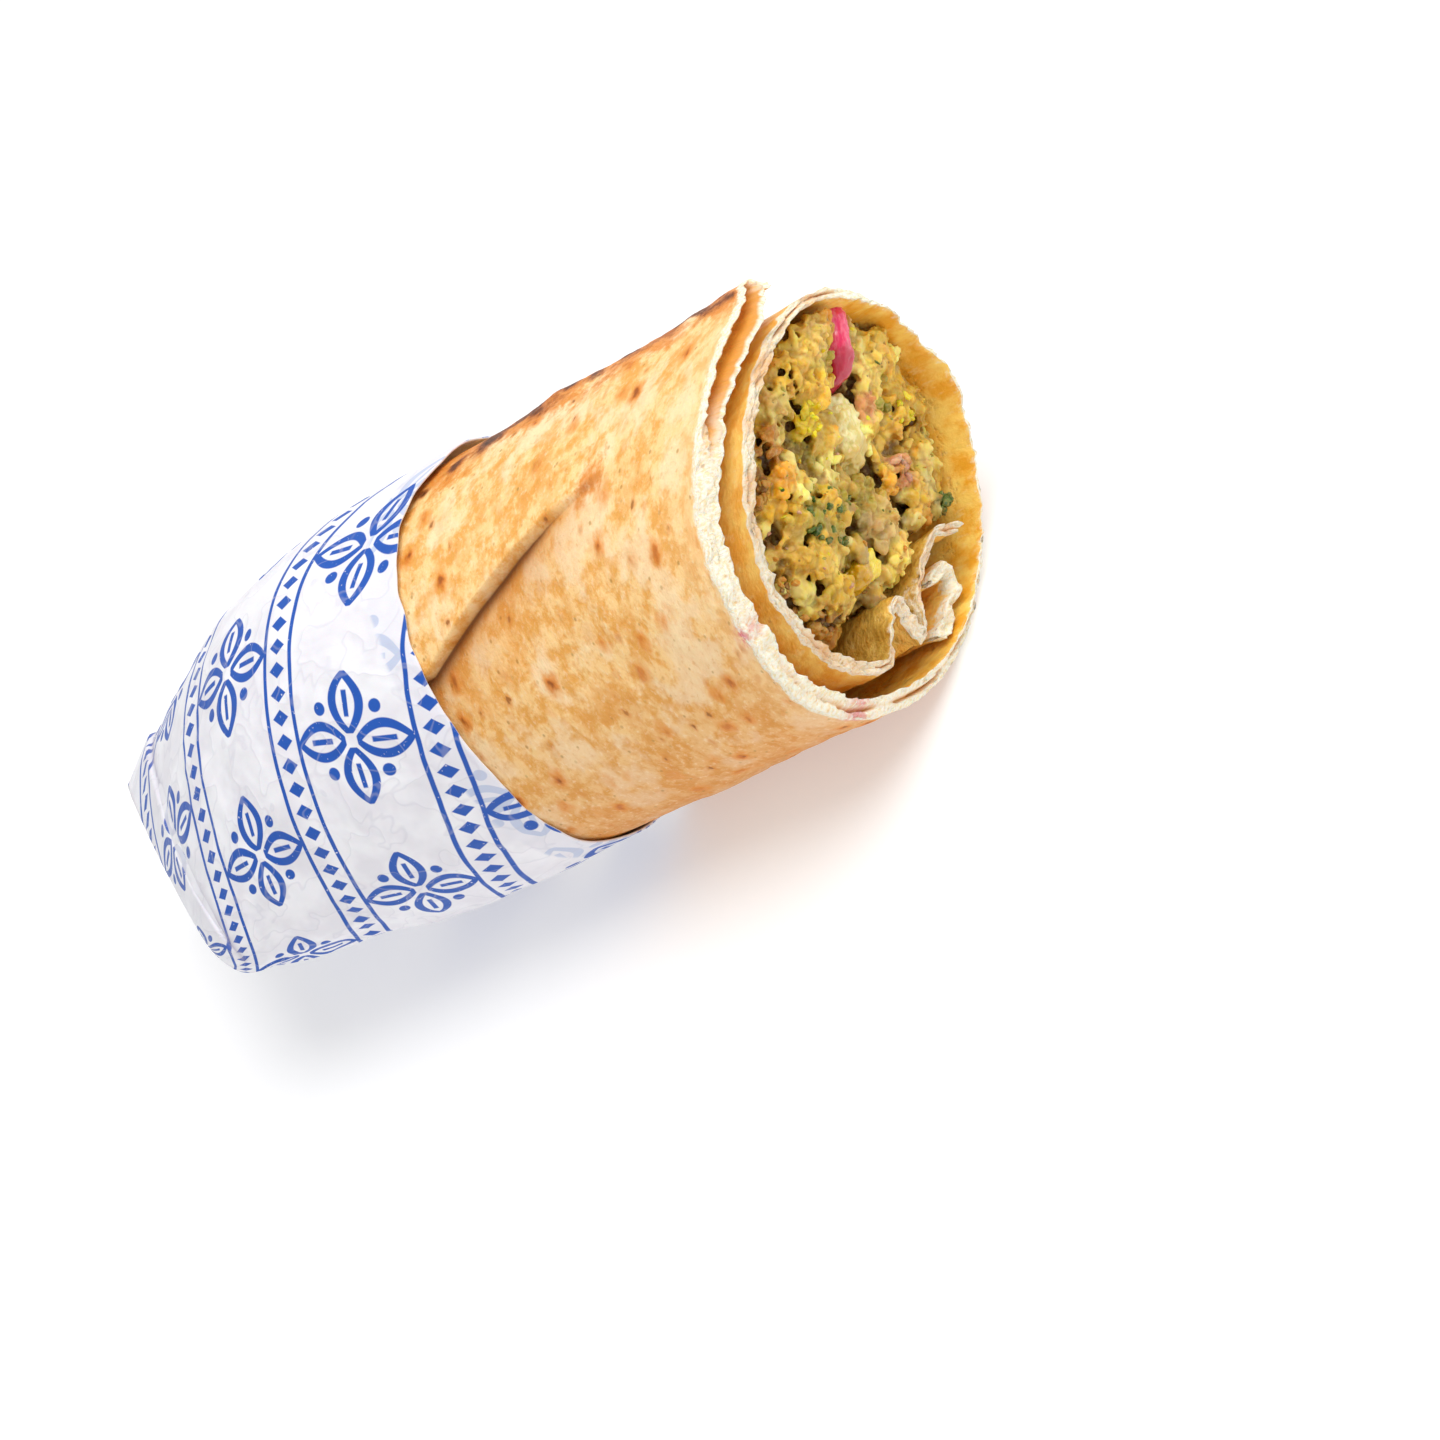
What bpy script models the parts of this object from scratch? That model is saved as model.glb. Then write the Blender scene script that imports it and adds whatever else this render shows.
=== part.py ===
"""Half of a rolled falafel pita in a paper sleeve, lying on its side, with the cut end at +X.

The roll is first made straight, round the X axis. Angles run from straight up towards the front (-Y), in degrees.
"""

import math
import random

import bmesh
import bpy
from mathutils import Matrix, Vector

MM = 0.001

# The roll
ROLL_RADIUS = 30.25 * MM  # outer radius of the pita at the cut
PACKED_RADIUS = 28.9 * MM  # the same inside the sleeve
PACKED_TAPER = 2.4 * MM  # how much less it is at the closed end
AXIS_HEIGHT = 30.0 * MM  # under both radii at rest, so the roll lies on a narrow flat
CUT_CENTRE = 61.0 * MM  # where the cut crosses the axis
CUT_SLANT = math.radians(17.2)  # the knife crossed at this angle, seen from above
CUT_LEAN = 0.03  # how much further the cut lies for each metre up
CUT_BEND = 5.0  # how far the front half of the cut falls back, for each metre squared from the middle
CLOSED_END = -65.0 * MM
END_SLANT = -0.36  # the closed edge runs this far along for each metre towards the back
SQUEEZE_START = -8.0 * MM  # from here the packed end narrows to the closed end
TOP_SINK = 1.2 * MM  # how flat the roll is along its top at the free edge

# The pita sheet: 1.5 turns from its free edge, then a crumpled inner end
SHEET = 2.4 * MM
LAYER_GAP = 0.9 * MM
FREE_EDGE_ANGLE = -42.0
FLAP_GAP = 1.6 * MM  # how far the second turn sinks away from the free edge at the cut
FREE_CORNER_RECESS = 6.5 * MM  # how far the free edge's corner stops short of the cut
OUTER_TURN_RECESS = 3.3 * MM  # the same for the outer turn at the front
PLEAT_LIFT = 1.2 * MM  # how far the pleat's upper side stands up
PLEAT_DIP = 0.6 * MM  # and how far its lower side sinks
PLEAT_ANGLE = 45.5  # where the pleat leaves the sleeve
PLEAT_RISE = 29.0  # degrees that it climbs to its end
PLEAT_LENGTH = 44.0 * MM
PITA_START = -50.0 * MM
SPIRAL_END = 528.0  # degrees turned when the crumpled inner end starts
INNER_PLY = 0.55  # its thickness as a share of the sheet's
INNER_END = [  # angle in degrees, radius in MM
    (132.5, 24.2), (134.5, 21.8), (135.8, 19.4), (140.5, 17.6), (145.2, 19.4), (146.5, 22.0), (150.5, 24.0),
    (155.0, 22.4), (157.0, 20.0), (162.0, 18.2), (171.0, 17.4), (181.0, 17.4), (188.5, 18.4), (193.0, 20.8),
    (196.0, 23.4),
]

# The filling: angle in degrees and radius in MM of its outline at the cut
FILLING_OUTLINE = [
    (-42.0, 21.0), (0.0, 21.2), (45.0, 21.0), (90.0, 21.6), (108.0, 21.8), (120.0, 20.0), (130.0, 16.6),
    (145.0, 16.0), (160.0, 16.0), (172.0, 15.4), (184.0, 15.2), (194.0, 16.2), (203.0, 19.4), (213.0, 22.6),
    (232.0, 24.8), (270.0, 22.9), (298.0, 21.3), (318.0, 21.0),
]
FILLING_START = -46.0 * MM
FILLING_RECESS = 1.6 * MM
BACK_RECESS = 3.2 * MM  # more, towards the back wall
EDGE_FALL = 2.6 * MM
CRUMBS = 210
CRUMB_SIZE = (1.3 * MM, 3.3 * MM)
POCKET_GAP = 0.35 * MM

# Pieces that show in the filling: name, (y, z) from the axis, length, width, depth in MM, tilt, how far it stands out
PIECES = [
    ("pickled_turnip", (14.6, 8.8), (8.0, 3.4, 12.0), 35.0, 0.9),
    ("potato_strip", (5.7, 0.9), (9.8, 4.6, 11.0), 50.0, 0.9),
    ("pickle_piece", (-8.2, -7.8), (5.8, 4.4, 8.0), -20.0, 1.0),
]
PIECE_COLORS = {
    "pickled_turnip": (0.68, 0.06, 0.15),
    "potato_strip": (0.74, 0.62, 0.26),
    "pickle_piece": (0.62, 0.48, 0.05),
}

# The paper sleeve
PAPER = 0.6 * MM
SLEEVE_RADIUS = 30.3 * MM
SLEEVE_TOP_SINK = 0.9 * MM
SLEEVE_MOUTH = 4.8 * MM
MOUTH_REACH = 9.0 * MM  # how much further the mouth reaches at the back
MOUTH_FLARE = 0.4 * MM

RANDOM_SEED = 7


def smooth(low, high, value):
    """0 below low, 1 above high, with a smooth rise between."""
    share = min(max((value - low) / (high - low), 0.0), 1.0)
    return share * share * (3.0 - 2.0 * share)


def between(knots, value):
    """The height at value of a line through the knots, eased at each knot."""
    for (low, start), (high, end) in zip(knots, knots[1:]):
        if value <= high:
            return start + (end - start) * smooth(low, high, value)
    return knots[-1][1]


def polar(angle, radius):
    """(y, z) of a point at that angle from straight up, towards the front."""
    turned = math.radians(angle)
    return -radius * math.sin(turned), radius * math.cos(turned)


def settle(x, y, z):
    """Where a point of the straight roll lies once its packed end is squeezed and it rests on the table."""
    share = min(max((SQUEEZE_START - x) / (SQUEEZE_START - CLOSED_END), 0.0), 1.0)
    width = 1.0 - 0.05 * share - 0.2 * share**12
    height = 1.0 - 0.9 * share**2
    drop = 5.5 * MM * share**2
    return Vector((x + END_SLANT * y * share, y * width, max(AXIS_HEIGHT + z * height - drop, 0.0)))


def top_flatness(angle):
    """1 at the free edge's angle, falling to 0 on either side."""
    return smooth(0.2, 1.0, math.cos(math.radians(angle - FREE_EDGE_ANGLE)))


def cut_offset(y, z):
    """How far along the cut lies at (y, z), measured from where it crosses the axis."""
    return y * math.tan(CUT_SLANT) + z * CUT_LEAN - CUT_BEND * min(y, 0.0) ** 2


def slanted(x, y, z):
    """x of a point of the bread that is straight inside the sleeve and on the cut at the end."""
    share = min(max((x - SLEEVE_MOUTH) / (CUT_CENTRE - SLEEVE_MOUTH), 0.0), 1.0)
    return x + cut_offset(y, z) * share


def make_object(name, mesh, collection, color, roughness):
    """Links the mesh as a smooth-shaded object with its own material."""
    obj = bpy.data.objects.new(name, mesh)
    material = bpy.data.materials.new(name)
    material.use_nodes = True
    shader = material.node_tree.nodes["Principled BSDF"]
    shader.inputs["Base Color"].default_value = (*color, 1.0)
    shader.inputs["Roughness"].default_value = roughness
    shader.inputs["Metallic"].default_value = 0.0
    mesh.materials.clear()
    mesh.materials.append(material)
    mesh.shade_smooth()
    mesh.set_sharp_from_angle(angle=math.radians(50))
    collection.objects.link(obj)
    return obj


def baked(obj):
    """A new mesh of the object with its modifiers applied."""
    graph = bpy.context.evaluated_depsgraph_get()
    return bpy.data.meshes.new_from_object(obj.evaluated_get(graph))


def grid_mesh(name, rows, closed):
    """An open surface through rows of points. A closed grid joins each row's ends."""
    bm = bmesh.new()
    vertices = [[bm.verts.new(point) for point in row] for row in rows]
    count = len(rows[0])
    steps = count if closed else count - 1
    for low, high in zip(vertices, vertices[1:]):
        for i in range(steps):
            j = (i + 1) % count
            bm.faces.new((low[i], low[j], high[j], high[i]))
    mesh = bpy.data.meshes.new(name)
    bm.to_mesh(mesh)
    bm.free()
    return mesh


def pita_radius(x):
    """The roll's outer radius at x: it bulges out of the sleeve towards the cut."""
    share = min(max((x - SLEEVE_MOUTH) / (CUT_CENTRE - SLEEVE_MOUTH), 0.0), 1.0)
    return PACKED_RADIUS + (ROLL_RADIUS - PACKED_RADIUS) * share - PACKED_TAPER * smooth(-15 * MM, PITA_START, x)


def turn_radius(turned, x):
    """Radius of the sheet's middle, that many degrees in from its free edge."""
    opened = smooth(SLEEVE_MOUTH, CUT_CENTRE, x)
    radius = pita_radius(x) - SHEET / 2 - TOP_SINK * top_flatness(FREE_EDGE_ANGLE + turned)
    radius -= (SHEET + LAYER_GAP) * smooth(255.0, 352.0, turned)
    radius -= FLAP_GAP * opened * smooth(270.0, 350.0, turned) * (1.0 - 0.25 * smooth(375.0, 440.0, turned))
    return radius


def outer_turn_recess(turned):
    """How far the outer turn stops short of the cut."""
    at_front = smooth(8.0, 72.0, turned) * (1.0 - smooth(77.0, 122.0, turned))
    return OUTER_TURN_RECESS * at_front + FREE_CORNER_RECESS * (1.0 - smooth(0.0, 32.0, turned))


def pleat_turned(x):
    """Degrees from the free edge to the pleat at x."""
    share = min(max((x - SLEEVE_MOUTH) / PLEAT_LENGTH, 0.0), 1.0)
    return PLEAT_ANGLE - PLEAT_RISE * share - FREE_EDGE_ANGLE


def pleat_height(turned, x):
    """How far the pleat lifts the outer turn."""
    above = pleat_turned(x) - turned
    fades = 1.0 - smooth(SLEEVE_MOUTH + 0.35 * PLEAT_LENGTH, SLEEVE_MOUTH + PLEAT_LENGTH, x)
    if above < 0.0:
        return -PLEAT_DIP * fades * smooth(SLEEVE_MOUTH - 14 * MM, SLEEVE_MOUTH, x) * math.exp(above / 22.0)
    starts = 0.3 * smooth(SLEEVE_MOUTH - 12 * MM, SLEEVE_MOUTH, x) + 0.7 * smooth(SLEEVE_MOUTH, SLEEVE_MOUTH + 9 * MM, x)
    return PLEAT_LIFT * fades * starts * math.exp(-above / 16.0)


def turned_steps(x):
    """The degrees turned at each point of the spiral, with two close points on either side of the pleat."""
    pleat = pleat_turned(x)
    steps = [pleat * i / 10 for i in range(10)]
    steps += [pleat - 0.8, pleat + 0.8]
    rest = 58
    steps += [pleat + 0.8 + (SPIRAL_END - pleat - 0.8) * i / rest for i in range(1, rest + 1)]
    return steps


def rounded_path(points):
    """The points with one more between each two, on a Catmull-Rom curve."""
    path = []
    for i in range(len(points) - 1):
        before, start, end = points[max(i - 1, 0)], points[i], points[i + 1]
        after = points[min(i + 2, len(points) - 1)]
        path.append(start)
        path.append(tuple((9.0 * (start[k] + end[k]) - before[k] - after[k]) / 16.0 for k in (0, 1)))
    path.append(points[-1])
    return path


def pita_section(x):
    """The sheet's middle line at x as points (x, y, z), from the free edge to the crumpled inner end."""
    points = []
    for turned in turned_steps(x):
        radius = turn_radius(turned, x) + pleat_height(turned, x)
        y, z = polar(FREE_EDGE_ANGLE + turned, radius)
        recess = outer_turn_recess(turned) * smooth(SLEEVE_MOUTH, CUT_CENTRE, x)
        points.append((slanted(x, y, z) - recess, y, z))
    scale = pita_radius(x) / ROLL_RADIUS
    last = (FREE_EDGE_ANGLE + SPIRAL_END - 360.0, turn_radius(SPIRAL_END, x) / scale / MM)
    for angle, radius in rounded_path([last] + INNER_END)[1:]:
        y, z = polar(angle, radius * MM * scale)
        points.append((slanted(x, y, z), y, z))
    return points


def make_pita(collection):
    """The rolled sheet, thickened while straight and then settled on the table."""
    stations = [PITA_START, -38 * MM, -25 * MM, -12 * MM, -3 * MM, 5 * MM, 12 * MM, 20 * MM, 29 * MM, 38 * MM,
                47 * MM, 55 * MM, CUT_CENTRE]
    rows = [pita_section(x) for x in stations]
    sheet = bpy.data.objects.new("pita_sheet", grid_mesh("pita_sheet", rows, closed=False))
    collection.objects.link(sheet)
    plies = sheet.vertex_groups.new(name="plies")
    count = len(rows[0])
    for index in range(count * len(rows)):
        inner = smooth(count - 38, count - 26, index % count)
        plies.add([index], 1.0 - (1.0 - INNER_PLY) * inner, "REPLACE")
    thicken = sheet.modifiers.new("thicken", "SOLIDIFY")
    thicken.thickness = SHEET
    thicken.offset = 0.0
    thicken.vertex_group = plies.name
    mesh = baked(sheet)
    bpy.data.objects.remove(sheet)
    for vertex in mesh.vertices:
        vertex.co = settle(*vertex.co)
    return make_object("rolled_pita", mesh, collection, (0.82, 0.56, 0.24), 0.75)


def filling_radius(angle, x):
    """Radius of the filling's outline at that angle."""
    around = (angle - FREE_EDGE_ANGLE) % 360.0 + FREE_EDGE_ANGLE
    return between(FILLING_OUTLINE, around) * MM * pita_radius(x) / ROLL_RADIUS


def scatter_crumbs(draw):
    """Crumbs on the cut face as (y, z, size)."""
    crumbs = []
    for _ in range(CRUMBS):
        angle = draw.uniform(0.0, 360.0)
        reach = math.sqrt(draw.random()) * filling_radius(angle, CUT_CENTRE)
        crumbs.append((*polar(angle, reach), draw.uniform(*CRUMB_SIZE)))
    return crumbs


def crumb_relief(y, z, crumbs):
    """How far the highest crumb at (y, z) stands out of the face."""
    relief = 0.0
    for crumb_y, crumb_z, size in crumbs:
        inside = size * size - (y - crumb_y) ** 2 - (z - crumb_z) ** 2
        if inside > 0.0:
            relief = max(relief, 0.8 * math.sqrt(inside))
    return relief


def face_x(y, z, share, crumbs):
    """x of the filling's cut face. share is 0 at its middle and 1 at its edge."""
    x = CUT_CENTRE + cut_offset(y, z) - FILLING_RECESS
    x -= BACK_RECESS * smooth(2 * MM, 24 * MM, y)
    x -= EDGE_FALL * smooth(0.8, 1.0, share)
    return x + crumb_relief(y, z, crumbs) * (1.0 - 0.7 * smooth(0.85, 1.0, share))


def make_filling(collection):
    """A closed body of rings: a back end, a straight side and a crumbly cut face."""
    crumbs = scatter_crumbs(random.Random(RANDOM_SEED))
    segments, face_rings = 72, 22
    side = [FILLING_START, -34 * MM, -20 * MM, -5 * MM, 10 * MM, 25 * MM, 40 * MM, 50 * MM]
    rings = 1 + len(side) + face_rings
    bm = bmesh.new()
    bmesh.ops.create_uvsphere(bm, u_segments=segments, v_segments=rings, radius=1.0)
    for vertex in bm.verts:
        ring = round((math.pi - math.acos(max(-1.0, min(1.0, vertex.co.z)))) / math.pi * rings)
        angle = math.degrees(math.atan2(-vertex.co.y, vertex.co.x))
        if ring <= len(side):
            x = side[max(ring - 1, 0)]
            y, z = polar(angle, filling_radius(angle, x) * min(ring, 1))
            vertex.co = settle(slanted(x, y, z), y, z)
        else:
            share = (rings - ring) / face_rings
            y, z = polar(angle, filling_radius(angle, CUT_CENTRE) * share)
            vertex.co = settle(face_x(y, z, share, crumbs), y, z)
    bmesh.ops.recalc_face_normals(bm, faces=bm.faces)
    mesh = bpy.data.meshes.new("falafel_filling")
    bm.to_mesh(mesh)
    bm.free()
    return make_object("falafel_filling", mesh, collection, (0.50, 0.40, 0.09), 0.6)


def strip_mesh(name, size, grow):
    """A rounded strip: size is its length, width and depth, grown by the same amount on every side."""
    bm = bmesh.new()
    bmesh.ops.create_cube(bm, size=1.0)
    bmesh.ops.scale(bm, vec=[side + 2 * grow for side in size], verts=bm.verts)
    bmesh.ops.bevel(bm, geom=bm.edges[:], offset=min(size) * 0.3, segments=2, profile=0.5, affect="EDGES")
    mesh = bpy.data.meshes.new(name)
    bm.to_mesh(mesh)
    bm.free()
    return mesh


def make_piece(filling, collection, cutters, name, place, size, tilt, stands_out):
    """One strip in the filling, in a pocket a little larger than itself."""
    y, z = place[0] * MM, place[1] * MM
    size = [side * MM for side in size]
    front = CUT_CENTRE + cut_offset(y, z) + stands_out * MM
    front -= FILLING_RECESS + BACK_RECESS * smooth(2 * MM, 24 * MM, y)
    middle = Vector((front - size[2] / 2 + 1.4 * MM, y, AXIS_HEIGHT + z))
    # The strip's length lies across the roll, and its depth runs along the roll
    across = Matrix(((0, 0, 1, 0), (1, 0, 0, 0), (0, 1, 0, 0), (0, 0, 0, 1)))
    lie = Matrix.Rotation(math.radians(tilt), 4, "X") @ across
    piece = make_object(name, strip_mesh(name, size, 0.0), collection, PIECE_COLORS[name], 0.4)
    cutter = bpy.data.objects.new(name + "_pocket", strip_mesh(name + "_pocket", size, POCKET_GAP))
    cutters.objects.link(cutter)
    for obj in (piece, cutter):
        obj.matrix_world = Matrix.Translation(middle) @ lie
    cutter.hide_render = True
    cutter.display_type = "WIRE"
    pocket = filling.modifiers.new(name, "BOOLEAN")
    pocket.operation = "DIFFERENCE"
    pocket.object = cutter


def make_sleeve(collection):
    """The paper sleeve: an open surface from the mouth to the flattened closed end, thickened inwards."""
    segments = 60
    stations = [SLEEVE_MOUTH, 1 * MM, -4 * MM, -11 * MM, -18 * MM, -25 * MM, -32 * MM, -38 * MM, -44 * MM, -50 * MM,
                -55 * MM, -59 * MM, -62 * MM, CLOSED_END]
    rows = []
    for x in stations:
        row = []
        for i in range(segments):
            angle = 360.0 * i / segments
            at_back = smooth(-1.0, 0.8, -math.sin(math.radians(angle + 25.0)))
            near_mouth = smooth(-14 * MM, SLEEVE_MOUTH, x)
            radius = SLEEVE_RADIUS + MOUTH_FLARE * at_back * near_mouth - SLEEVE_TOP_SINK * top_flatness(angle)
            y, z = polar(angle, radius)
            row.append(settle(x + MOUTH_REACH * at_back * near_mouth, y, z))
        rows.append(row)
    mesh = grid_mesh("paper_sleeve", rows, closed=True)
    bm = bmesh.new()
    bm.from_mesh(mesh)
    bm.verts.ensure_lookup_table()
    bm.faces.new(bm.verts[len(bm.verts) - segments:])
    bmesh.ops.recalc_face_normals(bm, faces=bm.faces)
    bm.to_mesh(mesh)
    bm.free()
    sleeve = make_object("paper_sleeve", mesh, collection, (0.86, 0.86, 0.90), 0.55)
    thicken = sleeve.modifiers.new("thicken", "SOLIDIFY")
    thicken.thickness = PAPER
    thicken.offset = -1.0
    return sleeve


def centre_on_floor(objects):
    """Moves everything along X and Y so that the middle of its box is over the origin."""
    graph = bpy.context.evaluated_depsgraph_get()
    corners = [obj.matrix_world @ vertex.co for obj in objects for vertex in obj.evaluated_get(graph).data.vertices]
    for axis in (0, 1):
        middle = (min(c[axis] for c in corners) + max(c[axis] for c in corners)) / 2
        for obj in bpy.data.objects:
            obj.location[axis] -= middle


def main():
    for obj in list(bpy.data.objects):
        bpy.data.objects.remove(obj)
    parts = bpy.data.collections.new("falafel pita half")
    cutters = bpy.data.collections.new("pockets")
    for collection in (parts, cutters):
        bpy.context.scene.collection.children.link(collection)
    make_pita(parts)
    filling = make_filling(parts)
    for row in PIECES:
        make_piece(filling, parts, cutters, *row)
    make_sleeve(parts)
    bpy.context.view_layer.update()
    centre_on_floor(parts.objects)


main()
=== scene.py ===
"""The falafel pita half as it looks: toasted bread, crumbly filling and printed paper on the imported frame.

Lengths are in millimetres until a mesh is made. The roll is shaped straight, round the X axis, and then settled on
the floor. Angles run from straight up towards the front (-Y), in degrees.
"""

import itertools
import math

import bmesh
import bpy
import numpy as np
from mathutils import Matrix, Vector
from mathutils.bvhtree import BVHTree
from mathutils.kdtree import KDTree


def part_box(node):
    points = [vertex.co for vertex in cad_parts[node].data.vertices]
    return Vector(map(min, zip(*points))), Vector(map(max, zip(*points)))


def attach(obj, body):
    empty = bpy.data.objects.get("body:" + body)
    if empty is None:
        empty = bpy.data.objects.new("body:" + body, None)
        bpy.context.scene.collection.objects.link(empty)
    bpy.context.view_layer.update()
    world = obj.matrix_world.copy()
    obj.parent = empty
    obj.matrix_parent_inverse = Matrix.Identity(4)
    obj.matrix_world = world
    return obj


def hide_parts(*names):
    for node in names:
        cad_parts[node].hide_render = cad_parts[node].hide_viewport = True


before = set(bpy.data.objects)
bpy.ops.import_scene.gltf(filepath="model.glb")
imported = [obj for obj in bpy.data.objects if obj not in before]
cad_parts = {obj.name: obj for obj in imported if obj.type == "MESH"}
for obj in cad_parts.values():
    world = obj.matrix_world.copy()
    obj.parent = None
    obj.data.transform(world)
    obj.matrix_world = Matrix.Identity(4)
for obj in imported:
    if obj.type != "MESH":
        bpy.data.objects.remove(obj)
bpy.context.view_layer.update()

MM = 0.001

# The roll, with the frame's values. Only the mash reaches a little further here
ROLL_RADIUS = 30.25
PACKED_RADIUS = 28.9
PACKED_TAPER = 2.4
AXIS_HEIGHT = 30
CUT_CENTRE = 61
CUT_SLANT = math.tan(math.radians(17.2))
CUT_LEAN = 0.03
CUT_BEND = 0.005
CLOSED_END = -65
END_SLANT = -0.36
SQUEEZE_START = -8
TOP_SINK = 1.2
SHEET = 2.4
LAYER_GAP = 0.9
FREE_EDGE_ANGLE = -42
FLAP_GAP = 1.6
FREE_CORNER_RECESS = 6.5
OUTER_TURN_RECESS = 3.3
PLEAT_ANGLE = 45.5
PLEAT_RISE = 29
PLEAT_LENGTH = 44
PITA_START = -50
SPIRAL_END = 528
INNER_PLY = 0.55
INNER_END = [  # angle, radius
    (132.5, 24.2), (134.5, 21.8), (135.8, 19.4), (140.5, 17.6), (145.2, 19.4), (146.5, 22), (150.5, 24), (155, 22.4),
    (157, 20), (162, 18.2), (171, 17.4), (181, 17.4), (188.5, 18.4), (193, 20.8), (196, 23.4),
]
FILLING_OUTLINE = [  # angle, radius
    (-42, 21), (0, 21.2), (45, 21), (90, 21.6), (108, 21.8), (120, 20), (130, 16.6), (145, 16), (160, 16),
    (172, 15.4), (184, 15.2), (193, 16.8), (199, 20.4), (204, 24.4), (212, 26.4), (232, 26.9), (245, 26.2),
    (256, 25.2), (270, 23.7), (285, 22.3), (300, 21.5), (318, 21),
]
FILLING_START = -46
FILLING_RECESS = 1.4
BACK_RECESS = 1.2
SLEEVE_RADIUS = 30.3
SLEEVE_TOP_SINK = 0.9
SLEEVE_MOUTH = 4.8
MOUTH_REACH = 9
MOUTH_FLARE = 0.4

# The looks
PLEAT_BOW = 3.6  # degrees that the pleat's line bows upwards
PLEAT_LIP = 1.1  # how far the pleat's edge stands up
PLEAT_CREVICE = 1.6  # how far the bread sinks beside it
PAPER = 0.35  # its thickness
SECOND_TURN = 352  # degrees in from the free edge where the sheet is wholly under its outer turn
MASH_DEPTH = 3.1  # how far the plain body of the mash lies behind its grains
SHOWN_DEPTH = 8  # how much of the fused front is kept
VOXEL = 0.285  # fine enough for the crumbs, coarse enough for the mesh's size
SEED = 11
GOLDEN_ANGLE = 2.39996  # in radians; sets the grains of a clump evenly apart

# The photo's view and light
LENS, SENSOR, PIXELS = 85, 36, 1440
PIXELS_PER_MM = 7.17
AXIS_AT = (498, 664)  # the pixel where the middle of the roll's axis shows
LAMP, LAMP_TARGET = Vector((0.38, 0.08, 0.95)), Vector((0, 0, 0.03))


def smooth(low, high, value):
    """0 below low, 1 above high, with a smooth rise between."""
    share = np.clip((value - low) / (high - low), 0, 1)
    return share * share * (3 - 2 * share)


def between(knots, value):
    """The height at value of a line through the knots, eased at each knot."""
    ends, heights = np.array(knots).T
    i = np.clip(np.searchsorted(ends, value) - 1, 0, len(knots) - 2)
    return heights[i] + (heights[i + 1] - heights[i]) * smooth(0, 1, (value - ends[i]) / (ends[i + 1] - ends[i]))


def lattice(seed, cells):
    """A repeatable random number from 0 to 1 for each whole-number cell. Each seed gives another pattern."""
    number = np.full(np.broadcast(*cells).shape, (SEED + seed) * 7919 + 101, dtype=np.uint64)
    for cell in cells:
        number = (number ^ (cell.astype(np.int64) & 0xFFFFFF).astype(np.uint64)) * np.uint64(2654435761)
        number &= np.uint64(0xFFFFFFFF)
        number ^= number >> np.uint64(15)
        number = (number * np.uint64(2246822519)) & np.uint64(0xFFFFFFFF)
        number ^= number >> np.uint64(13)
    return number / 2**32


def noise(seed, *axes):
    """Smooth noise from -1 to 1, with one bump about every unit of its axes."""
    axes = [np.asarray(axis, float) for axis in np.broadcast_arrays(*axes)]
    cells = [np.floor(axis) for axis in axes]
    shares = [smooth(0, 1, axis - cell) for axis, cell in zip(axes, cells)]
    total = 0
    for corner in itertools.product((0, 1), repeat=len(axes)):
        weight = 1
        for step, share in zip(corner, shares):
            weight *= share if step else 1 - share
        total += weight * lattice(seed, [cell + step for cell, step in zip(cells, corner)])
    return 2 * total - 1


def fractal(seed, octaves, *axes):
    """Noise with finer noise on top of it."""
    return sum(noise(seed + k, *[axis * 2**k for axis in axes]) * 0.5**k for k in range(octaves))


def crumbled(seed, points, size):
    """Cells about size across: how far inside its cell each point is, from 0 to about 1, and the cell's number."""
    place = points / size
    cell = np.floor(place)
    first = second = np.full(len(place), np.inf)
    number = np.zeros(len(place))
    for step in itertools.product((-1, 0, 1), repeat=3):
        corner = (cell + step).T
        far = np.sqrt(sum((corner[k] + lattice(seed + k, list(corner)) - place[:, k]) ** 2 for k in range(3)))
        nearer = far < first
        second = np.where(nearer, first, np.minimum(second, far))
        number = np.where(nearer, lattice(seed + 3, list(corner)), number)
        first = np.where(nearer, far, first)
    return second - first, number


def polar(angle, radius):
    turned = np.radians(angle)
    return -radius * np.sin(turned), radius * np.cos(turned)


def settle(x, y, z):
    """Where a point of the straight roll lies once its packed end is squeezed and it rests on the floor."""
    share = np.clip((SQUEEZE_START - x) / (SQUEEZE_START - CLOSED_END), 0, 1)
    width = 1 - 0.05 * share - 0.2 * share**12
    height = 1 - 0.9 * share**2
    drop = 5.5 * share**2
    return x + END_SLANT * y * share, y * width, np.maximum(AXIS_HEIGHT + z * height - drop, 0)


def top_flatness(angle):
    return smooth(0.2, 1, np.cos(np.radians(angle - FREE_EDGE_ANGLE)))


def cut_offset(y, z):
    return y * CUT_SLANT + z * CUT_LEAN - CUT_BEND * np.minimum(y, 0) ** 2


def out_of_sleeve(x):
    return np.clip((x - SLEEVE_MOUTH) / (CUT_CENTRE - SLEEVE_MOUTH), 0, 1)


def pita_radius(x):
    bulge = (ROLL_RADIUS - PACKED_RADIUS) * out_of_sleeve(x)
    return PACKED_RADIUS + bulge - PACKED_TAPER * smooth(-15, PITA_START, x)


def turn_radius(turned, x):
    """Radius of the sheet's middle, that many degrees in from its free edge."""
    opened = smooth(SLEEVE_MOUTH, CUT_CENTRE, x)
    radius = pita_radius(x) - SHEET / 2 - TOP_SINK * top_flatness(FREE_EDGE_ANGLE + turned)
    radius = radius - (SHEET + LAYER_GAP) * smooth(255, SECOND_TURN, turned)
    return radius - FLAP_GAP * opened * smooth(270, 350, turned) * (1 - 0.25 * smooth(375, 440, turned))


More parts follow.
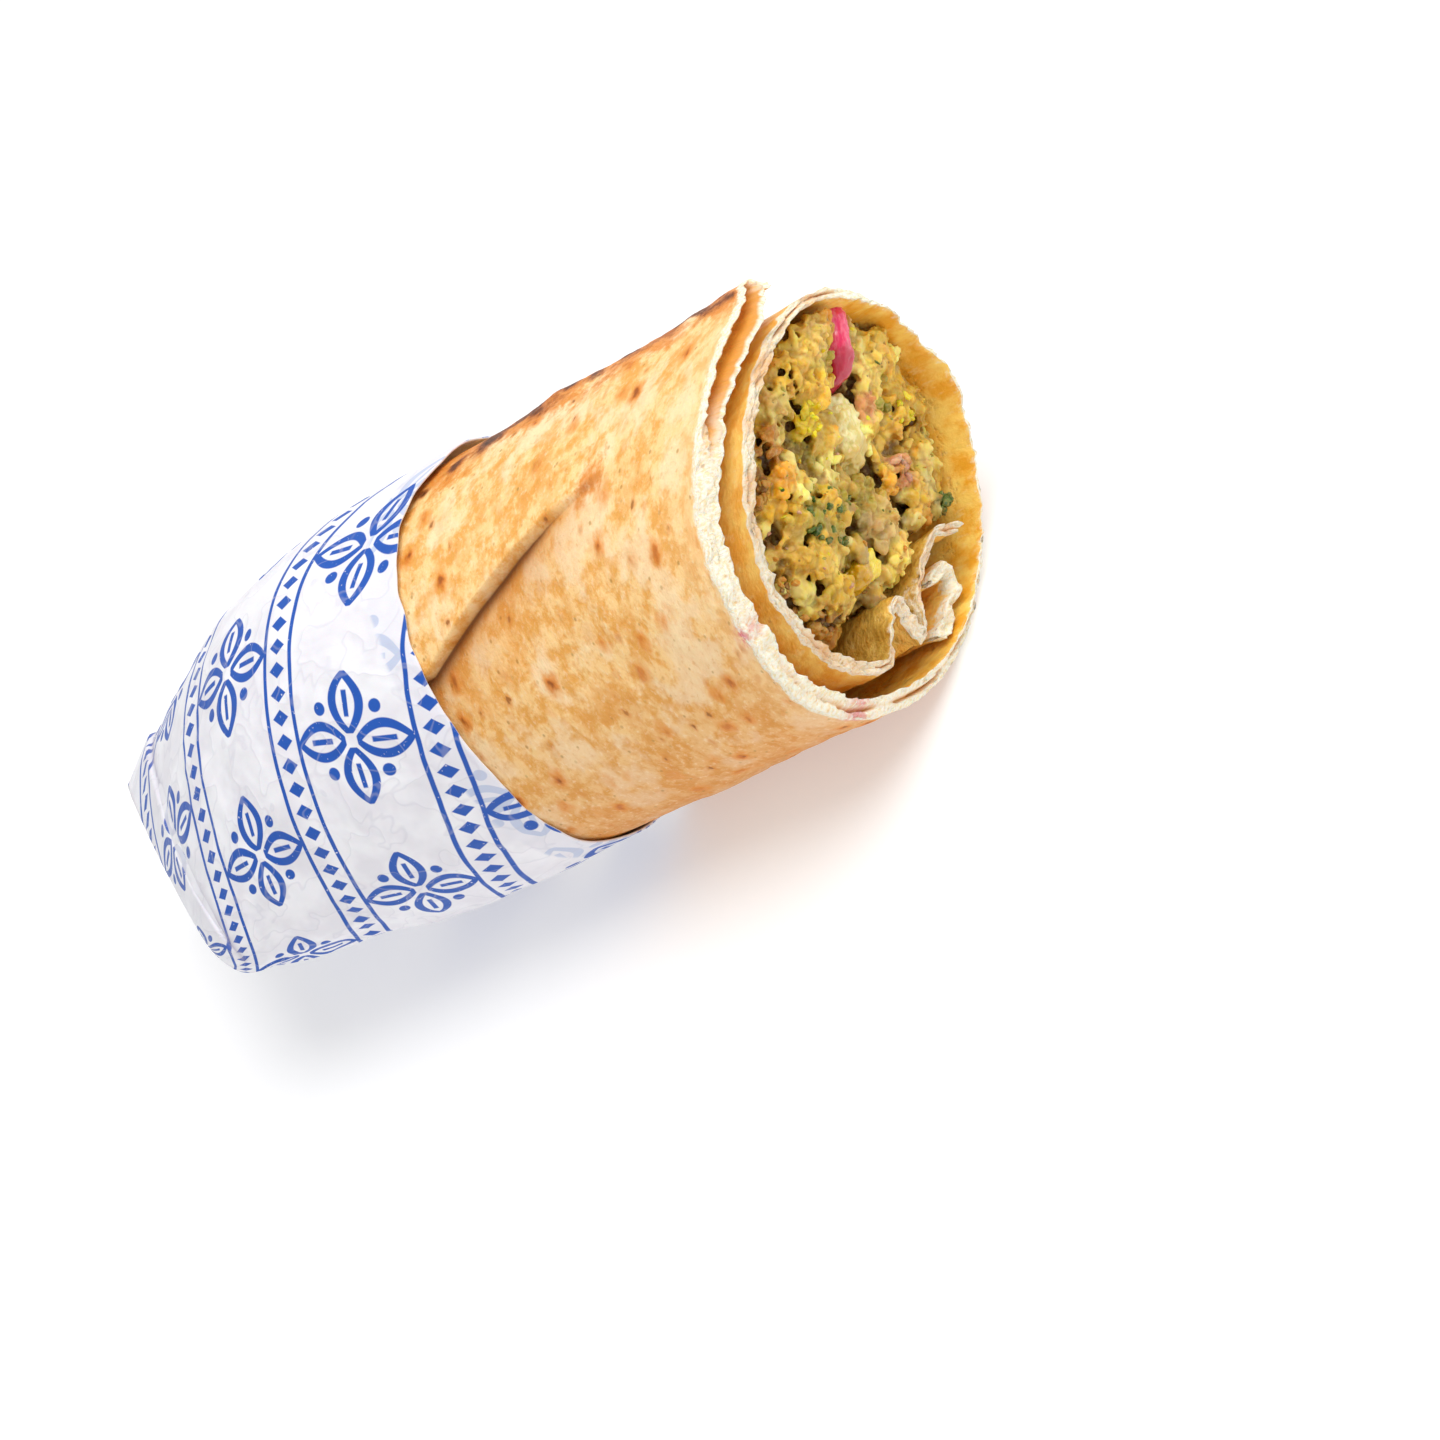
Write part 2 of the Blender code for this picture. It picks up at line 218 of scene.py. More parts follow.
def outer_turn_recess(turned):
    at_front = smooth(8, 72, turned) * (1 - smooth(77, 122, turned))
    return OUTER_TURN_RECESS * at_front + FREE_CORNER_RECESS * (1 - smooth(0, 32, turned))


def pleat_turned(x):
    share = np.clip((x - SLEEVE_MOUTH) / PLEAT_LENGTH, 0, 1)
    return PLEAT_ANGLE - PLEAT_RISE * share - PLEAT_BOW * np.sin(math.pi * share) - FREE_EDGE_ANGLE


def pleat_height(turned, x):
    """How far the pleat's edge stands up on one side of its line, and the bread sinks on the other."""
    above = pleat_turned(x) - turned
    fades = 1 - smooth(SLEEVE_MOUTH + 0.3 * PLEAT_LENGTH, SLEEVE_MOUTH + PLEAT_LENGTH, x)
    starts = 0.35 * smooth(SLEEVE_MOUTH - 12, SLEEVE_MOUTH, x) + 0.65 * smooth(SLEEVE_MOUTH, SLEEVE_MOUTH + 8, x)
    sunk = smooth(SLEEVE_MOUTH - 14, SLEEVE_MOUTH, x)
    crevice = -PLEAT_CREVICE * sunk * np.exp(np.minimum(above, 0) / 11)
    rolled = smooth(-0.2, 2.2, above) ** 0.8
    lip = (PLEAT_LIP * starts * np.exp(-np.maximum(above, 0) / 15) - crevice) * rolled
    return fades * (crevice + lip)


def filling_radius(angle, x):
    around = (angle - FREE_EDGE_ANGLE) % 360 + FREE_EDGE_ANGLE
    return between(FILLING_OUTLINE, around) * pita_radius(x) / ROLL_RADIUS


def face_x(y, z):
    """x of the filling's cut face before its crumbs."""
    return CUT_CENTRE + cut_offset(y, z) - FILLING_RECESS - BACK_RECESS * smooth(2, 24, y)


# The frame's shift from the straight roll's axis to the origin, from the sleeve's box
SLEEVE_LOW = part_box("paper_sleeve")[0]
CORNER = SLEEVE_RADIUS - SLEEVE_TOP_SINK * float(top_flatness(270))
SHIFT = np.array([SLEEVE_LOW.x / MM - (CLOSED_END + END_SLANT * CORNER), SLEEVE_LOW.y / MM + SLEEVE_RADIUS, 0])


def spot(x, at_x, long, angle, at_angle, wide):
    """A soft spot, 1 in its middle, with its reach along x and round the roll."""
    return np.exp(-((x - at_x) / long) ** 2 - ((angle - at_angle) / wide) ** 2)


def make_piece(name, points, faces, node, material):
    """A smooth-shaded piece from millimetre points, riding on the body, that stands for the node if one is named."""
    mesh = bpy.data.meshes.new(name)
    mesh.from_pydata(((points + SHIFT) * MM).tolist(), [], faces)
    mesh.shade_smooth()
    mesh.materials.append(material)
    mesh.update()
    piece = bpy.data.objects.new(name, mesh)
    bpy.context.scene.collection.objects.link(piece)
    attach(piece, "root")
    if node:
        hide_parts(node)
    return piece


def listed(shape, *axes):
    """Values over a grid of that shape, as a row for each of its points."""
    return np.stack([np.broadcast_to(axis, shape).ravel() for axis in axes], 1)


def give(piece, name, values):
    """Stores one number or one vector for each point of the piece, for its material."""
    kind, field = ("FLOAT", "value") if values.shape[1] == 1 else ("FLOAT_VECTOR", "vector")
    piece.data.attributes.new(name, kind, "POINT").data.foreach_set(field, values.astype(np.float32).ravel())


def give_all(piece, shape, **values):
    """The same for a piece made over a grid of that shape. A vector is a tuple."""
    for name, value in values.items():
        give(piece, name, listed(shape, *value) if isinstance(value, tuple) else listed(shape, value))


def stations(skin, edge, across, back):
    """Each row's place along a sheet and its side: 1 down the outer skin, across the edge, and -1 back inside."""
    x = np.concatenate([skin, np.full(len(across), edge), back])[:, None]
    return x, np.concatenate([np.ones(len(skin)), across, -np.ones(len(back))])[:, None]


def sheet_faces(rows, columns, tube=False):
    """Faces over a grid whose rows, or in a tube its columns, go right round, with a cap at both ends."""
    number = np.arange(rows * columns).reshape(rows, columns)
    if tube:
        caps, number = [number[0], number[-1, ::-1]], np.hstack([number, number[:, :1]])
    else:
        caps, number = [number[:, 0], number[::-1, -1]], np.vstack([number, number[:1]])
    corners = [number[1:, :-1], number[1:, 1:], number[:-1, 1:], number[:-1, :-1]]
    return np.stack([corner.ravel() for corner in corners], 1).tolist() + [cap.tolist() for cap in caps]


def rgb(*screen):
    """A screen colour from 0 to 255 as a linear one."""
    shares = (c / 255 for c in screen)
    return tuple(c / 12.92 if c <= 0.04045 else ((c + 0.055) / 1.055) ** 2.4 for c in shares)


class Net:
    """One material's nodes. A colour of three numbers is a screen colour."""

    def __init__(self, name):
        self.material = bpy.data.materials.new(name)
        self.material.use_nodes = True
        self.nodes = self.material.node_tree.nodes
        self.links = self.material.node_tree.links

    def put(self, socket, value):
        if isinstance(value, Field):
            value = value.socket
        if isinstance(value, bpy.types.NodeSocket):
            self.links.new(value, socket)
        elif socket.type == "RGBA" and len(value) == 3:
            socket.default_value = (*rgb(*value), 1)
        else:
            socket.default_value = value

    def add(self, kind, inputs=(), **settings):
        """A new node with its settings, and with its inputs by number or by name."""
        node = self.nodes.new("ShaderNode" + kind)
        for name, value in settings.items():
            setattr(node, name, value)
        for place, value in inputs.items() if isinstance(inputs, dict) else enumerate(inputs):
            self.put(node.inputs[place], value)
        return node

    def vector(self, name):
        return self.add("Attribute", attribute_name=name).outputs["Vector"]

    def field(self, name):
        return Field(self, self.add("Attribute", attribute_name=name).outputs["Fac"])

    def axis(self, vector, number):
        return Field(self, self.add("SeparateXYZ", [vector]).outputs[number])

    def math(self, kind, *values):
        return Field(self, self.add("Math", values, operation=kind).outputs[0])

    def stretched(self, vector, scale, shift=(0, 0, 0)):
        return self.add("VectorMath", [vector, scale, shift], operation="MULTIPLY_ADD").outputs[0]

    def warped(self, vector, size, amount):
        """The place moved about by noise, up to about half the amount."""
        noise = self.add("TexNoise", {"Vector": vector, "Scale": 1 / size})
        return self.stretched(noise.outputs["Color"], (amount, amount, amount), vector)

    def noise(self, vector, size, detail=3, rough=0.55, twist=0):
        """Noise from about 0 to 1 whose bumps are size millimetres across."""
        inputs = {"Vector": vector, "Scale": 1 / size, "Detail": detail, "Roughness": rough, "Distortion": twist}
        return Field(self, self.add("TexNoise", inputs).outputs["Fac"])

    def cells(self, vector, size):
        """Distance from the nearest of random points, and a random number for that point."""
        node = self.add("TexVoronoi", {"Vector": vector, "Scale": 1 / size})
        split = self.add("SeparateColor", [node.outputs["Color"]])
        return Field(self, node.outputs["Distance"]) * size, Field(self, split.outputs[0])

    def mix(self, share, low, high):
        node = self.add("Mix", {"Factor": share}, data_type="RGBA", clamp_factor=True)
        self.put(node.inputs["A"], low)
        self.put(node.inputs["B"], high)
        return node.outputs["Result"]

    def coats(self, color, *coats):
        """The colour with others laid over it, each as its share and its red, green and blue."""
        for share, *over in coats:
            color = self.mix(share, color, over)
        return color

    def bump(self, height, distance, strength=1, normal=None):
        node = self.add("Bump", {"Strength": strength, "Distance": distance * MM, "Height": height})
        if normal is not None:
            self.links.new(normal, node.inputs["Normal"])
        return node.outputs[0]

    def finish(self, color, roughness, normal, **others):
        inputs = {"Base_Color": color, "Roughness": roughness, "Normal": normal, **others}
        for name, value in inputs.items():
            self.put(self.nodes["Principled BSDF"].inputs[name.replace("_", " ")], value)
        return self.material


def operation(kind):
    """A method that joins two numbers by a node of that kind."""
    return lambda self, other: self.net.math(kind, self, other)


class Field:
    """A number in a material that changes over the surface."""

    def __init__(self, net, socket):
        self.net, self.socket = net, socket

    __add__ = __radd__ = operation("ADD")
    __sub__, __mul__ = operation("SUBTRACT"), operation("MULTIPLY")
    low, high = operation("MINIMUM"), operation("MAXIMUM")

    def __rsub__(self, other):
        return self.net.math("SUBTRACT", other, self)

    def __abs__(self):
        return self.net.math("ABSOLUTE", self)

    def step(self, low, high):
        """0 at low and 1 at high, with a smooth change between. low may be the larger."""
        turn = low > high
        inputs = {"Value": self, "From Min": min(low, high), "From Max": max(low, high), "To Min": 1 * turn,
                  "To Max": 1 - turn}
        return Field(self.net, self.net.add("MapRange", inputs, interpolation_type="SMOOTHSTEP").outputs["Result"])


def bread_material():
    """Toasted skin with floury patches, browned blisters and dark specks, and pale crumb where the sheet is cut.
    Painted shade darkens the lower part of the roll, and a painted shadow lies under the pleat's lip.
    """
    net = Net("bread_skin")
    sheet = net.vector("sheet")
    from_cut, groove, inside = net.field("from_cut"), net.field("groove"), net.field("inside")
    toast, char, crease, stain = net.field("toast"), net.field("char"), net.field("crease"), net.field("stain")
    loose = net.warped(net.stretched(sheet, (0.85, 1, 1)), 2.4, 1.3)
    patches = net.noise(loose, 9, 4, 0.62)
    mottle = net.noise(loose, 2.4, 4, 0.68)
    grain = net.noise(net.stretched(sheet, (0.8, 1, 1)), 0.8, 3, 0.6)
    mottled, grainy = mottle - 0.5, grain - 0.5
    # low: 0 to 1 from 44 to 100 mm round from the free edge, over the front and lower part of the roll; it gives more
    # blisters there and carries a painted shade
    low = net.axis(sheet, 0).step(44, 100)
    blister, kind = net.cells(net.warped(net.stretched(sheet, (0.75, 1, 1), (3, 11, 0)), 1.5, 1.8), 4.7)
    often = (kind + low * 0.3).step(0.15, 0.7)
    speck, shade = net.cells(net.warped(net.stretched(sheet, (0.62, 1, 1)), 0.9, 0.9), 2.9)
    dot, some = net.cells(net.stretched(sheet, (0.8, 1, 1), (9, 5, 0)), 1.6)
    toasted = (toast + mottled * 1.6 + grainy * 0.6).step(0.25, 0.85) * toast.step(0.02, 0.3)
    burnt = char + grainy * 1.3 + mottled * 1.1
    color = net.coats(
        net.mix(mottle.step(0.4, 0.61), (250, 208, 142), (232, 168, 82)),
        (patches.step(0.48, 0.62) * 0.7, 253, 226, 182),
        (patches.step(0.47, 0.34) * 0.55, 230, 160, 74),
        # Painted shade: the front and lower part of the roll laid over in darker brown
        (low * 0.72, 204, 122, 42),
        (from_cut.step(9, 1) * 0.35, 252, 218, 164),
        (grain.step(0.54, 0.74) * 0.4, 214, 144, 64),
        (grain.step(0.46, 0.3) * 0.4, 254, 228, 186),
        # Soft browned blisters, some with a dark middle
        ((blister + mottled * 2).step(1.9, 0.6) * often * 0.8, 226, 140, 44),
        (blister.step(1, 0.4) * kind.step(0.3, 0.55) * 0.8, 204, 112, 30),
        (blister.step(0.6, 0.2) * kind.step(0.5, 0.7) * 0.8, 138, 70, 18),
        # Fine specks
        (speck.step(0.8, 0.3) * shade.step(0.3, 0.7) * 0.6, 218, 134, 48),
        (speck.step(0.42, 0.18) * shade.step(0.5, 0.8) * 0.8, 146, 86, 30),
        (dot.step(0.32, 0.12) * some.step(0.45, 0.85) * 0.65, 170, 124, 50),
        # The browned band along the free edge, other toasted places, and the painted shadow under the pleat's lip
        (toasted * 0.85, 222, 134, 40),
        ((toast + mottled * 2 + grainy * 1.2).step(0.9, 1.45) * 0.7, 164, 84, 18),
        ((char + mottled * 0.8).step(0.05, 0.6) * 0.7, 168, 86, 20),
        (burnt.step(0.4, 0.8) * 0.75, 116, 58, 14),
        (burnt.step(0.65, 1.3) * 0.9, 56, 26, 6),
        # Painted shadow under the pleat's lip, darkest in its crevice
        (crease * 0.85, 184, 108, 36),
        (crease.step(0.55, 1) * 0.8, 110, 58, 16),
    )
    # The oily inner skin
    wall = net.coats(
        net.mix(net.noise(sheet, 4, 4, 0.6).step(0.38, 0.62), (254, 210, 102), (238, 168, 42)),
        (net.noise(net.stretched(sheet, (1, 0.5, 1)), 1.2).step(0.55, 0.75) * 0.5, 250, 224, 156),
        (speck.step(0.5, 0.2) * some.step(0.5, 0.8) * 0.5, 170, 104, 40),
    )
    crusted = (net.field("crusted") + mottled * 1.6).step(0.35, 0.75)
    crust = net.mix(grain.step(0.4, 0.62), (206, 164, 70), (172, 124, 34))
    color = net.mix(crusted * 0.8, net.mix(inside, color, wall), crust)
    # The cut edge
    pores, depth = net.cells(sheet, 0.8)
    crumb = net.noise(sheet, 0.5, 3, 0.65)
    cut = net.coats(
        net.mix(crumb.step(0.42, 0.66), (255, 250, 232), (251, 229, 182)),
        (pores.step(0.26, 0.05) * depth.step(0.3, 0.8) * 0.6, 226, 178, 104),
        (dot.step(0.22, 0.1) * 0.5, 166, 120, 62),
        (groove, 226, 152, 50),
    )
    rim = (from_cut + inside * 1.3 + (net.noise(sheet, 1.1, 3, 0.7) - 0.5) * 3).step(1.9, 0.7)
    color = net.coats(net.mix(rim, color, cut), (stain * net.noise(sheet, 1, 2).step(0.35, 0.6), 226, 96, 120))
    height = grain * (0.7 + crusted * 1.6) + net.noise(sheet, 0.35, 2) * 0.25
    height = height + (crumb - 0.5) * rim * 2 - speck.step(0.5, 0.1) * 0.4
    soft = net.bump(mottle - blister.step(1.2, 0.2) * 0.6, 0.45, 0.5)
    roughness = 0.6 - inside * 0.22 + rim * 0.2 + grainy * 0.25
    return net.finish(color, roughness, net.bump(height, 0.25, 0.7, soft), Subsurface_Weight=0.12,
                      Subsurface_Scale=0.0016, Specular_IOR_Level=0.35)


def mash_material():
    """Moist mash: each crumb has its own tint, which carries painted shade in the crevices and hollows, with grains
    and spice specks.
    """
    net = Net("falafel_mash")
    place = net.vector("place")
    grain, patch = net.noise(place, 0.6, 2), net.noise(place, 2.2, 3, 0.6)
    speck, which = net.cells(place, 1.5)
    color = net.coats(
        net.vector("tint"),
        (grain.step(0.4, 0.65) * 0.18, 248, 226, 140),
        (patch.step(0.44, 0.3) * 0.45, 192, 130, 22),
        (speck.step(0.26, 0.1) * which.step(0.35, 0.7) * 0.75, 92, 84, 30),
    )
    return net.finish(color, 0.34 + grain * 0.25, net.bump(grain, 0.2, 0.6), Subsurface_Weight=0.4,
                      Subsurface_Scale=0.002, Coat_Weight=0.2, Coat_Roughness=0.22, Specular_IOR_Level=0.3)


def piece_material(name, main, light, dark, size, rough, weight):
    """A wet vegetable piece with streaks along its length and a darker end."""
    net = Net(name)
    place = net.vector("place")
    lines = net.noise(net.stretched(place, (0.4, 1, 1)), size, 3, 0.6)
    cloud = net.noise(place, 2 * size)
    color = net.mix(lines.step(0.4, 0.64) * 0.8, main, light)
    color = net.mix((net.field("low_end") + cloud - 0.5).step(0.2, 0.7) * 0.85, color, dark)
    normal = net.bump(lines + net.noise(place, 0.4, 2) * 0.3, 0.3, 0.5)
    return net.finish(color, rough + cloud * 0.15, normal, Subsurface_Weight=weight, Subsurface_Scale=0.002,
                      Coat_Weight=0.6, Coat_Roughness=0.12)


def flower(net, x, y):
    """Ink of an outlined four-petal flower with a dot in each gap, round (0, 0), in millimetres."""
    p, q = abs(x), abs(y)
    far, near = p.high(q), p.low(q)
    reach = (far - 5.2) * (1 / 4.1)
    outline = abs(near - (1 - reach * reach) * 2.2).step(0.8, 0.6) * far.step(9.7, 9.5) * far.step(0.9, 1.1)
    vein = near.step(0.5, 0.32) * far.step(3.2, 3.5) * far.step(7.2, 6.9)
    corner = net.math("SQRT", (p - 4.6) * (p - 4.6) + (q - 4.6) * (q - 4.6))
    return outline.high(vein).high(corner.step(1.05, 0.85))


def repeat(net, value, size, shift=0):
    """value folded into repeats of size, from -size / 2 to size / 2."""
    return net.math("WRAP", value + shift, size / 2, -size / 2)


def paper_material():
    """Thin white paper with a plain blue repeat of outlined flowers and rows of lozenges, with painted shade along
    its crease lines and the fold of its flattened end.
    """
    net = Net("paper_print")
    sheet = net.vector("sheet")
    across, up = net.axis(sheet, 0), net.axis(sheet, 1)
    around, along = across * 0.94 - up * 0.34, across * 0.34 + up * 0.94
    ink = flower(net, repeat(net, around, 28), repeat(net, along, 50))
    ink = ink.high(flower(net, repeat(net, around, 28, 14), repeat(net, along, 50, 25)))
    row = abs(repeat(net, along, 25, 12.5))
    lozenge = (row * 0.75 + abs(repeat(net, around, 3.4))).step(1.3, 1.1)
    ink = ink.high(lozenge * row.step(2.2, 2.1)).high(abs(row - 2.7).step(0.46, 0.28))
    solid = net.noise(sheet, 0.8, 2).step(0.2, 0.36)
    ghost = flower(net, repeat(net, along, 21), repeat(net, around, 23, 6))
    fiber = net.noise(net.stretched(sheet, (1, 0.4, 1)), 0.7)
    ridge = abs(net.noise(sheet, 8, 2, 0.5, 0.3) - 0.5)
    color = net.mix(net.noise(sheet, 9).step(0.38, 0.64), (243, 241, 245), (232, 229, 235))
    color = net.coats(
        net.mix(net.field("double"), color, net.mix(ghost, (232, 230, 237), (196, 204, 226))),
        (ink * solid * (1 - net.field("inside") * 0.8), 24, 84, 178),
        # Painted shade along the thin crease lines
        (ridge.step(0.02, 0) * 0.25, 196, 194, 208),
        # Painted shadow along the fold line of the flattened end
        (net.field("fold"), 168, 160, 182),
    )
    normal = net.bump(fiber, 0.05, 0.3, net.bump(ridge * -2, 0.9, 0.6))
    return net.finish(color, 0.46 + fiber * 0.1, normal, Specular_IOR_Level=0.4, Subsurface_Weight=0.05,
                      Subsurface_Scale=0.001)


CHARRED = [  # x, degrees in from the free edge, reach along x, reach in degrees, strength
    (8.3, 29, 1.1, 2.2, 1.2), (39.5, 61.5, 1.2, 1.7, 0.4), (25.6, 12, 1.2, 7, 1.3), (31, 8, 1.7, 6, 1.4),
    (28.6, 4, 3.6, 4, 1.2), (16.6, 12, 1.2, 7, 1), (12.8, 22, 0.9, 4, 1), (35.6, 10, 1.1, 5, 0.9),
    (41.6, 9, 1.8, 5, 1), (47.2, 8, 1.3, 6, 1), (53.6, 11, 1, 5, 0.7), (58, 19, 0.9, 3.5, 1.1),
]


def curve(knots, share):
    """Points of a smooth line through the knots, share from 0 at the first to 1 at the last."""
    knots = np.array(knots)
    place = np.clip(share, 0, 1) * (len(knots) - 1)
    i = np.minimum(place.astype(int), len(knots) - 2)
    t = (place - i)[:, None]
    before, start, end = knots[np.maximum(i - 1, 0)], knots[i], knots[i + 1]
    after = knots[np.minimum(i + 2, len(knots) - 1)]
    return (0.5 * (2 * start + (end - before) * t + (2 * before - 5 * start + 4 * end - after) * t**2
                   + (3 * start - before - 3 * end + after) * t**3)).T


def make_bread(material):
    """One closed sheet: outer skin, ragged cut edge of two plies, inner skin and the edge inside the sleeve."""
    pleat = 73
    spiral = np.concatenate([
        np.arange(0, 12, 0.6), np.arange(12, pleat - 4, 0.95), np.arange(pleat - 4, pleat + 4, 0.25),
        np.arange(pleat + 4, 200, 0.95), np.arange(200, SECOND_TURN, 1.5), np.arange(SECOND_TURN, SPIRAL_END, 1.3),
    ])
    ends = np.linspace(0, 1, 84)
    skin = np.concatenate([[-50, -38, -26, -14, -7, -3], np.arange(-0.6, 60.7, 0.62)])
    across = [0.94, 0.82, 0.66, 0.5, 0.36, 0.2, 0.04, -0.12, -0.28, -0.42, -0.56, -0.72, -0.88, -0.96]
    back = np.concatenate([np.arange(60.8, 50, -0.9), [46, 40, 32, 22, 10, -8, -30, -50]])
    x, w = stations(skin, CUT_CENTRE, across, back)
    cut_row = (np.abs(w) < 1).astype(float)
    to_cut = CUT_CENTRE - x

    turned = spiral + (pleat_turned(x) - pleat) * (1 - smooth(0, 50, np.abs(spiral - pleat)))
    loose = smooth(SLEEVE_MOUTH - 4, 30, x)
    radius = turn_radius(turned, x) + 0.28 * loose * noise(0, np.radians(turned) * 28 / 17, x / 15)
    y, z = polar(FREE_EDGE_ANGLE + turned, radius)
    start = FREE_EDGE_ANGLE + SPIRAL_END - 360, float(turn_radius(SPIRAL_END, CUT_CENTRE))
    angle, reach = curve([start] + INNER_END, ends)
    crumple = 0.35 * noise(5, ends * 14, x / 5)
    end_y, end_z = polar(angle + 60 * crumple / 20, (reach + crumple) * (pita_radius(x) / ROLL_RADIUS))
    y, z = np.concatenate([y, end_y], 1), np.concatenate([z, end_z], 1)
    turned = np.concatenate([turned, SPIRAL_END + ends * 90 + 0 * x], 1)
    step_y, step_z = np.gradient(y, axis=1), np.gradient(z, axis=1)
    length = np.hypot(step_y, step_z)
    around = np.cumsum(np.hypot(*(np.diff(axis, axis=1, prepend=axis[:, :1]) for axis in (y, z))), 1)

    # Half the sheet's thickness, rounded off at its free edge and inner tip
    from_edge = np.minimum(around, around[:, -1:] - around)
    rounded_off = np.sqrt(1 - (1 - np.clip(from_edge / 1.3, 0.02, 1)) ** 2)
    ply = 1 - (1 - INNER_PLY) * smooth(SPIRAL_END - 30, SPIRAL_END + 8, turned)
    half = SHEET / 2 * ply * np.maximum(rounded_off, 0.25)
    thinner = smooth(350, 358, turned) * smooth(SPIRAL_END - 6, SPIRAL_END - 40, turned)
    half *= 1 - 0.5 * thinner
    # The two plies part near the free edge at the cut
    opened = smooth(2, 10, turned) * (1 - smooth(48, 78, turned)) * smooth(14, 0, to_cut)
    front, second = turned < 200, turned > SECOND_TURN
    outward = np.where(w > 0, half * w, (half + 0.4 * opened) * w)
    height = pleat_height(turned, x) * front
    outward += height * np.where(w > 0, w, 0.25)
    # Blisters and dents in the outer skin
    dents = 0.15 * fractal(10, 3, around / 5.5, x / 3.2) + 0.25 * noise(20, around / 14, x / 8)
    outward += dents * loose * np.where(w > 0, w, 0.3) * np.where(second, 0.4, 1)
    outward += 0.5 * spot(x, 28.6, 4.2, turned, 8, 9) * (w > 0)
    crinkles = fractal(12, 2, around / 2.6, x / 2.8)
    outward += 0.5 * crinkles * smooth(SPIRAL_END - 10, SPIRAL_END + 10, turned)
    # Each skin's border wavers where it was cut
    near, side = smooth(5, 0, to_cut), np.sign(w) * 7.3
    waver = 0.26 * noise(21, around / 3.1, side) + 0.2 * noise(22, around / 1.1, side)
    outward += waver * near * np.where((w > 0) & front, 0.5, 1) * np.abs(w) * ply

    at_x = x + cut_offset(y, z) * out_of_sleeve(x) - outer_turn_recess(turned) * smooth(SLEEVE_MOUTH, CUT_CENTRE, x)
    # The cut edge: slanting across the sheet, torn, with a groove between its two plies
    torn = 0.24 * noise(30, around / 2.6, w * 0.7) + 0.26 * noise(31, around / 0.95, w * 1.3)
    wander = 0.6 * noise(32, around / 11, 0)
    at_x += near * (torn * np.where(second | (w < 0), 1.5, 1) + wander)
    at_x -= smooth(3, 0, to_cut) * 0.9 * w * np.where(second, 0.35, 1)
    middle = 0.02 + 0.22 * noise(33, around / 6, 0)
    groove = np.exp(-((w - middle) / 0.2) ** 2) * (1 - opened) + smooth(0.72, 0.42, np.abs(w - 0.1)) * opened
    groove *= cut_row
    bottom = smooth(118, 160, turned)
    patchy = smooth(-0.35 - 0.5 * bottom, 0.6 - 0.3 * bottom, noise(34, around / 5, 0))
    gap = np.where(second, 0.2 + 1.2 * patchy, patchy * (0.12 + 1.6 * bottom)) + 2.8 * opened
    rough = 0.3 * noise(35, around / 0.6, w * 2.6) + 0.2 * noise(36, around / 0.33, w * 5)
    at_x = at_x - groove * gap * ply + rough * cut_row * (1 - opened * (0.4 + 0.5 * groove))
    points = listed(y.shape, *settle(at_x, y + step_z / length * outward, z - step_y / length * outward))
    piece = make_piece("bread", points, sheet_faces(*y.shape), "rolled_pita", material)

    over = np.where(cut_row > 0, CUT_CENTRE + (1 - w) * SHEET / 2, np.where(w > 0, x, 2 * CUT_CENTRE + SHEET - x))
    rise = np.diff(height, axis=1, prepend=height[:, :1])
    run = np.diff(around, axis=1, prepend=0)
    fold = smooth(SPIRAL_END + 26, SPIRAL_END + 36, turned) * smooth(SPIRAL_END + 68, SPIRAL_END + 58, turned)
    tone = 0.34 + 0.3 * noise(37, around / 2.2, 0)
    plies = np.maximum(groove * np.clip(gap / 1.3, 0.1, 1), smooth(0.86, 0.62, np.abs(w - 0.1)) * opened)
    tip = smooth(SPIRAL_END - 22, SPIRAL_END + 14, turned) * np.where(w < 0, 0.75, 0.45)
    wall = 0.36 * smooth(160, 180, turned) * smooth(345, 320, turned) * (w < 0) * smooth(1, 4, to_cut)
    # Toasted places: the band along the free edge, the pleat's upper end, and a patch by the sleeve's top
    band = 1 - smooth(7, 18 + 5 * noise(41, x / 6, 0), around)
    band *= 0.9 + 0.5 * noise(43, x / 4, around / 8)
    pleat_end = spot(x - (62 - turned) * 0.25, 40, 3.6, turned, 60, 6.5)
    corner = spot(x, 10, 8, turned, 22, 14)
    below = turned - pleat_turned(x)
    lip = np.exp(-((below + 3) / 3) ** 2) * smooth(44, 30, x) * 0.2
    # crease: painted shadow under the pleat's lip, dark in the crevice just below its edge and fading over about 9
    # degrees below it
    crease = np.exp(np.minimum(below, 0) / 0.6 - np.maximum(below, 0) / 9) * (1 - smooth(26, 47, x))
    spots = smooth(-0.15, 0.7, fractal(42, 2, around / 5, x / 4.6))
    char = smooth(2, 4, around) * (1 - smooth(9, 13, around)) * spots
    char = char + sum(strength * spot(x, at, long, turned, turn, wide) for at, turn, long, wide, strength in CHARRED)
    stain = spot(to_cut, 1.4, 1.5, turned, 114, 2.6) + spot(to_cut, 0.8, 1.3, turned, 160, 4)
    outside = turned < 300
    give_all(
        piece, y.shape,
        sheet=(around + np.cumsum(np.hypot(rise, run) - run, 1), over, 0),
        from_cut=np.where(cut_row > 0, -3, to_cut * (1 - 0.85 * fold * (w < 0))),
        groove=np.maximum(plies, tone * second) * cut_row,
        crusted=np.maximum(tip, wall) * (1 - cut_row),
        inside=np.where(w < 0, 1, smooth(345, SECOND_TURN, turned) * 0.8) * (1 - cut_row),
        toast=np.maximum.reduce([band, pleat_end * 0.8, corner * 0.9, lip]) * outside,
        char=np.clip(char, 0, 1) * outside,
        # crease: the painted shadow under the pleat's lip
        crease=crease * front,
        stain=np.clip(stain, 0, 1) * outside,
    )


